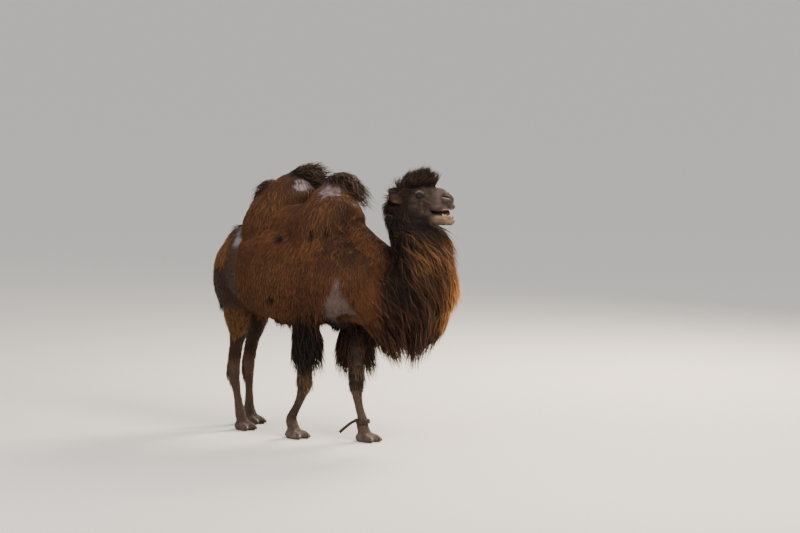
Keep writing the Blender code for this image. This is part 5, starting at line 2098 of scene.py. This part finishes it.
@dataclass
class Nails:
    """The blunt nails at the tips of the toes.

    Attributes:
        size: half the length, width and height of a nail, in metres.
        finish: what they are made of.
    """

    size: tuple[float, float, float] = (0.022, 0.019, 0.016)
    finish: TonedFinish = TonedFinish("nail_horn", 0.42, 0.45, 0.0, 0.004, 0.0006)

    def build(self, material: Material) -> list[tuple[Object, str]]:
        """Builds all the nails, each with the node that it stands for.

        Args:
            material: what they are made of.

        Returns:
            Each nail and its node.
        """
        made = []
        for legs, word, broad in ((FORELEGS, "fore", 1.0), (HIND_LEGS, "hind", HIND_FOOT_SHARE)):
            for leg in legs:
                for toe in (-1, 1):
                    side = "right" if leg.side < 0 else "left"
                    name = f"nail_{word}_{side}_{'right' if toe < 0 else 'left'}"
                    made.append((self.nail(leg, toe, broad, name, material), name))
        return made

    def nail(self, leg: Leg, toe: int, broad: float, name: str, material: Material) -> Object:
        """One nail, ridged along its length and worn flat below.

        Args:
            leg: its leg.
            toe: 1 for the left toe, -1 for the right.
            broad: the foot's size, as a share of a forefoot's.
            name: its node's name.
            material: what it is made of.

        Returns:
            The nail.
        """
        yaw = math.radians(leg.toe_yaw + toe * 5)
        forward = Vector((math.cos(yaw), math.sin(yaw), 0))
        aside = Vector((-forward.y, forward.x, 0))
        middle = Vector((leg.foot_x, leg.side * HALF_TRACK, 0))
        place = middle + forward * 0.124 * broad + aside * toe * 0.04 * broad + Vector((0, 0, 0.024))
        shell = blob(place, self.size, FORELEG, math.degrees(yaw), -28, segments=24)
        away = shell.points - np.array(place)
        along, across = away @ np.array(forward), away @ np.array(aside)
        ridge = 0.0006 * np.cos(across / self.size[1] * 9) * ramp(away[:, 2], -0.004, 0.006)
        shell.points += unit(away) * ridge[:, None]
        shell.points[:, 2] = np.maximum(shell.points[:, 2], 0.01)
        tone = mixed(CANNON.rgb, SOOT, 0.75 - ramp(along, 0.0, 0.022) * 0.4)
        return toned_piece("horn_" + name, [shell], tone, material)


@dataclass
class Teeth:
    """The lower teeth that the open mouth shows, rooted in the jaw.

    Attributes:
        spread: half the width of the row of front teeth, in metres.
        finish: what they are made of.
    """

    spread: float = 0.022
    finish: TonedFinish = TonedFinish("tooth_ivory", 0.35, 0.5, 0.2, 0.004, 0.0002)

    def build(self, material: Material) -> Object:
        """Builds the rows of teeth in the lower jaw.

        Args:
            material: what they are made of.

        Returns:
            The teeth as one object.
        """
        shells = []
        for i in range(6):
            turn = (i - 2.5) / 2.5
            forward = 0.272 - 0.018 * turn * turn
            height = 0.02 + 0.003 * math.sin(5.0 * i)
            shells.append(self.tooth(forward, self.spread * turn, -0.185, 0.0068, height, 28))
        for side in (-1, 1):
            for i in range(6):
                left = side * (0.0265 + 0.0012 * i)
                height = 0.018 + 0.004 * math.sin(3.0 * i + side)
                shells.append(self.tooth(0.248 - 0.0115 * i, left, -0.178 + 0.003 * i, 0.0076, height, 8))
        up = in_head(np.vstack([shell.points for shell in shells]))[:, 2]
        tone = mixed(IVORY.rgb, TARTAR, ramp(-up, 0.15, 0.17))
        return toned_piece("lower_teeth", shells, tone, material)

    def tooth(self, forward: float, left: float, up: float, wide: float, tall: float, pitch: float) -> Shell:
        """One tooth, leaning forward."""
        yaw = math.degrees(HEAD_YAW)
        return blob(
            head_point(forward, left, up), (wide * 0.75, wide, tall), HEAD, yaw, -pitch * 0.5, segments=12
        )


@dataclass
class Hobble:
    """The rawhide cuff on the left fore pastern, and its stiff twisted strap.

    Attributes:
        height: the level of the cuff's middle.
        width: the cuff's height, in metres.
        thick: half the thickness of a strand of the strap.
        reach: the cuff's radius, in metres.
        thong: half the thickness of a thong of the cuff, in metres.
        finish: what it is made of.
    """

    height: float = 0.165
    width: float = 0.036
    thick: float = 0.007
    reach: float = 0.0565
    thong: float = 0.005
    finish: TonedFinish = TonedFinish("rawhide_dark", 0.7, 0.35, 0.0, 0.004, 0.0015)

    def build(self, material: Material) -> list[tuple[Object, str]]:
        """Builds the cuff and the strap, each with the node that it stands for.

        Args:
            material: what they are made of.

        Returns:
            Each piece and its node.
        """
        leg = FORELEGS[1]
        x, y = leg.foot_x - 0.032, leg.side * HALF_TRACK
        strands = []
        for layer, level in enumerate((-0.36, -0.12, 0.12, 0.36)):
            strands.append(self.band(x + 0.003, y, self.height + level * self.width, 0.5 * layer))
        knot = blob((x - 0.06, y - 0.018, self.height), (0.016, 0.015, 0.017), FORELEG, 20, 0, 16)
        path = [
            (x - 0.058, y - 0.018, self.height + 0.002), (x - 0.1, y - 0.036, self.height - 0.022),
            (x - 0.14, y - 0.057, self.height - 0.056), (x - 0.175, y - 0.076, self.height - 0.09),
            (x - 0.188, y - 0.083, self.height - 0.104),
        ]
        strap = [self.strand(path, turn) for turn in (0, 2.1, 4.2)]
        made = []
        for name, shells in (("cuff", [*strands, knot]), ("strap", strap)):
            points = np.vstack([shell.points for shell in shells])
            tone = mixed(SOOT.rgb, CANNON, 0.35 + 0.5 * ripple(points, 0.012))
            made.append((toned_piece("rawhide_" + name, shells, tone, material), "hobble_" + name))
        return made

    def band(self, x: float, y: float, level: float, phase: float) -> Shell:
        """One turn of the cuff: a flat thong wound round the pastern.

        Args:
            x: its middle's place forward.
            y: its middle's place to the left.
            level: its height.
            phase: how far its wave is turned.

        Returns:
            The turn as a shell.
        """
        around, rim = 40, 10
        points, faces = [], []
        for i in range(around):
            turn = 2 * math.pi * i / around
            reach = self.reach + 0.0012 * math.sin(3 * turn + phase)
            for j in range(rim):
                roll = 2 * math.pi * j / rim
                out = reach + self.thong * math.cos(roll)
                z = level + self.thong * math.sin(roll) + 0.0025 * math.sin(turn + phase * 2)
                points.append((x + out * math.cos(turn), y + out * math.sin(turn), z))
                a, b = i * rim + j, i * rim + (j + 1) % rim
                c, d = ((i + 1) % around) * rim + (j + 1) % rim, ((i + 1) % around) * rim + j
                faces.append((a, b, c, d))
        return Shell(np.array(points), faces, FORELEG)

    def strand(self, path: list[tuple[float, float, float]], turn: float) -> Shell:
        """One strand of the strap, twisted round its middle line.

        Args:
            path: places along the strap.
            turn: where round the middle line it starts, as an angle.

        Returns:
            The strand as a shell.
        """
        rows = smooth_rows(path, 10)
        along = unit(np.gradient(rows, axis=0))
        side = unit(np.cross(along, [0.0, 0.0, 1.0]))
        up = np.cross(side, along)
        angle = turn + np.linspace(0, 5.5 * math.pi, len(rows))
        away = self.thick * 0.95 * (np.cos(angle)[:, None] * side + np.sin(angle)[:, None] * up)
        rings = [(*place, self.thick, self.thick, self.thick, 60) for place in rows + away]
        return loft(rings, FORELEG, around=8, steps=1)


# ---- assembly


@dataclass
class Coat:
    """All the pieces of the coat.

    Attributes:
        wool: the felted and the loose wool of the body.
        mane: the long glossy hair of neck, beard, forearms and topknot, with its rare light strands.
        short: the close hair of the face.
    """

    wool: StrandFinish = StrandFinish("camel_wool", 0.78, 0.55, 0.36, 0.16, 1.4)
    mane: StrandFinish = StrandFinish("camel_mane", 0.6, 0.3, 0.72, 0.45, 3.6)
    short: StrandFinish = StrandFinish("camel_short_hair", 0.7, 0.88, 0.22, 0.12, 1.3)

    def build(self, skin: Object, plan: CoatMap) -> list[tuple[Object, str]]:
        """Grows every piece on the skin, each with its slot label.

        Args:
            skin: the skin with its map.
            plan: the map.

        Returns:
            Each piece and its slot.
        """
        area = corner_areas(skin.data)
        wool, mane, short = (finish.material() for finish in (self.wool, self.mane, self.short))
        cover, of = plan.cover, plan.of
        trunk, neck = cover * of(TRUNK), of(NECK)
        right = ramp(-plan.points[:, 1], -0.002, 0.002)
        pieces = (
            CoatPiece("coat_flank_right", trunk * right, 13300, 3, 1, 0.024, 0.2, wool, "wool"),
            CoatPiece("coat_flank_left", trunk * (1 - right), 13300, 3, 2, 0.024, 0.2, wool, "wool"),
            CoatPiece("coat_humps", cover * of(HUMP, WITHERS), 7600, 4, 3, 0.03, 0.4, wool, "wool"),
            CoatPiece("coat_shoulders", cover * plan.shoulder, 4600, 4, 10, 0.026, 0.3, wool, "wool"),
            CoatPiece("coat_neck", cover * (neck - plan.shoulder), 4800, 6, 4, 0.028, 0.5, mane, "mane"),
            CoatPiece("coat_beard", cover * of(BEARD, BREAST), 4900, 7, 5, 0.034, 0.65, mane, "mane"),
            CoatPiece("coat_forelegs", cover * of(FORELEG), 5600, 5, 6, 0.022, 0.5, mane, "mane"),
            CoatPiece("coat_hind_legs", cover * of(HIND_LEG, TAIL), 11000, 3, 7, 0.018, 0.3, wool, "wool"),
            CoatPiece("coat_head", cover * of(HEAD, EAR), 11000, 3, 8, 0.012, 0.2, short, "mane"),
            CoatPiece("coat_topknot", cover * of(TOPKNOT), 2700, 5, 9, 0.02, 0.6, mane, "mane"),
        )
        grow = GrowTree()
        return [(piece.grow(skin, grow.tree, area), piece.slot) for piece in pieces]


@dataclass
class Camel:
    """The whole camel, built in its own axes and then moved into the frame.

    Attributes:
        skin_maker: builds its skin.
    """

    skin_maker: Skin = field(default_factory=Skin)

    def build(self) -> None:
        """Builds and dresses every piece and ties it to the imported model."""
        skin = self.skin_maker.build()
        share = self.skin_maker.regions(skin.data)
        points = points_of(skin.data)
        plan = CoatMap(points, share)
        set_points(skin.data, points + normals_of(skin.data) * plan.relief()[:, None])
        plan.store(skin.data)
        Unwrap().store(skin.data, share)
        coat = Coat().build(skin, plan)
        skin.data.materials.append(HideFinish().material())
        eyes, nails, hobble, teeth = Eyes(), Nails(), Hobble(), Teeth()
        fitted = [(obj, node, "eye") for obj, node in eyes.build(eyes.finish.material())]
        fitted += [(obj, node, "nail") for obj, node in nails.build(nails.finish.material())]
        fitted += [(obj, node, "hobble") for obj, node in hobble.build(hobble.finish.material())]
        ivory = teeth.build(teeth.finish.material())
        shift = Matrix.Translation(frame_shift())
        pieces = [skin, ivory, *(obj for obj, _ in coat), *(obj for obj, _, _ in fitted)]
        for obj in pieces:
            obj.data.transform(shift)
            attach(obj, BODY)
            LOG.info("%s is in place", obj.name)
        for obj, node, slot in fitted:
            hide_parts(node)
        own = {node for _, node, _ in fitted}
        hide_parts(*(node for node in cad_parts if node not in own))


@dataclass
class Studio:
    """A pale floor, soft lights and the camera.

    Attributes:
        azimuth: the camera's turn round the object, in degrees.
        elevation: its height above the horizon, in degrees.
        aim: where it looks, to the right and up across its view from the body's own origin.
        lens: its focal length, in millimetres.
        sensor: its sensor's width, in millimetres.
        span: the width of the view at the object, in metres.
        floor_size: the floor's width and length, in metres.
    """

    azimuth: float = 48.0
    elevation: float = 6.0
    aim: tuple[float, float] = (0.8667, 1.3958)
    lens: float = 200.0
    sensor: float = 36.0
    span: float = 6.667
    floor_size: float = 400.0

    def __post_init__(self) -> None:
        """Works out the camera's own axes."""
        turn, rise = math.radians(self.azimuth), math.radians(self.elevation)
        self.right = Vector((math.cos(turn), math.sin(turn), 0))
        level = math.cos(rise)
        self.back = Vector((math.sin(turn) * level, -math.cos(turn) * level, math.sin(rise)))
        self.up = self.back.cross(self.right)

    def camera(self) -> None:
        """Sets the camera up."""
        data = bpy.data.cameras.new("camera")
        data.lens, data.sensor_width = self.lens, self.sensor
        data.clip_start, data.clip_end = 0.5, 500
        made = bpy.data.objects.new("camera", data)
        aside, up = self.aim
        target = self.right * aside + self.up * up + frame_shift()
        made.location = target + self.back * (self.lens * self.span / self.sensor)
        made.rotation_mode = "QUATERNION"
        made.rotation_quaternion = self.back.to_track_quat("Z", "Y")
        bpy.context.scene.collection.objects.link(made)
        bpy.context.scene.camera = made

    def floor(self) -> None:
        """Lays the floor."""
        half = self.floor_size / 2
        corners = [(-half, -half, 0), (half, -half, 0), (half, half, 0), (-half, half, 0)]
        mesh = bpy.data.meshes.new("floor")
        mesh.from_pydata(corners, [], [(0, 1, 2, 3)])
        made = bpy.data.objects.new("floor", mesh)
        bpy.context.scene.collection.objects.link(made)
        finish, _, shader = new_material("pale_floor")
        shader.inputs["Base Color"].default_value = linear("#cfc9c0")
        shader.inputs["Roughness"].default_value = 0.9
        mesh.materials.append(finish)

    def light(self, name: str, place: Vector, size: float, power: float, colour: str) -> None:
        """Hangs one soft light that faces the camel's middle.

        Args:
            name: its name.
            place: where it hangs.
            size: its width, in metres.
            power: its power, in watts.
            colour: its colour in hex.
        """
        data = bpy.data.lights.new(name, "AREA")
        data.energy, data.size, data.color = power, size, linear(colour)[:3]
        made = bpy.data.objects.new(name, data)
        made.location = place
        made.rotation_mode = "QUATERNION"
        made.rotation_quaternion = (place - Vector((0, 0, 1.1))).to_track_quat("Z", "Y")
        bpy.context.scene.collection.objects.link(made)

    def build(self) -> None:
        """Builds the studio round the camel."""
        self.floor()
        right, back, up = self.right, self.back, Vector((0, 0, 1))
        self.light("key", right * 4 + back * 5 + up * 6, 3.0, 1000, "#fff4e6")
        self.light("fill", right * -6 + back * 6 + up * 3, 5.0, 260, "#eef3ff")
        self.light("rim", right * 4 - back * 5 + up * 6, 3.0, 1300, "#fff0dc")
        sky = bpy.data.worlds.new("studio")
        sky.use_nodes = True
        sky.node_tree.nodes["Background"].inputs[0].default_value = linear("#eef1f5")
        sky.node_tree.nodes["Background"].inputs[1].default_value = 1.05
        bpy.context.scene.world = sky
        self.camera()


def main() -> None:
    """Builds the camel and its studio."""
    logging.basicConfig(level=logging.INFO, format="%(name)s %(message)s")
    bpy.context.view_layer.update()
    Camel().build()
    Studio().build()


if __name__ == "__main__":
    main()
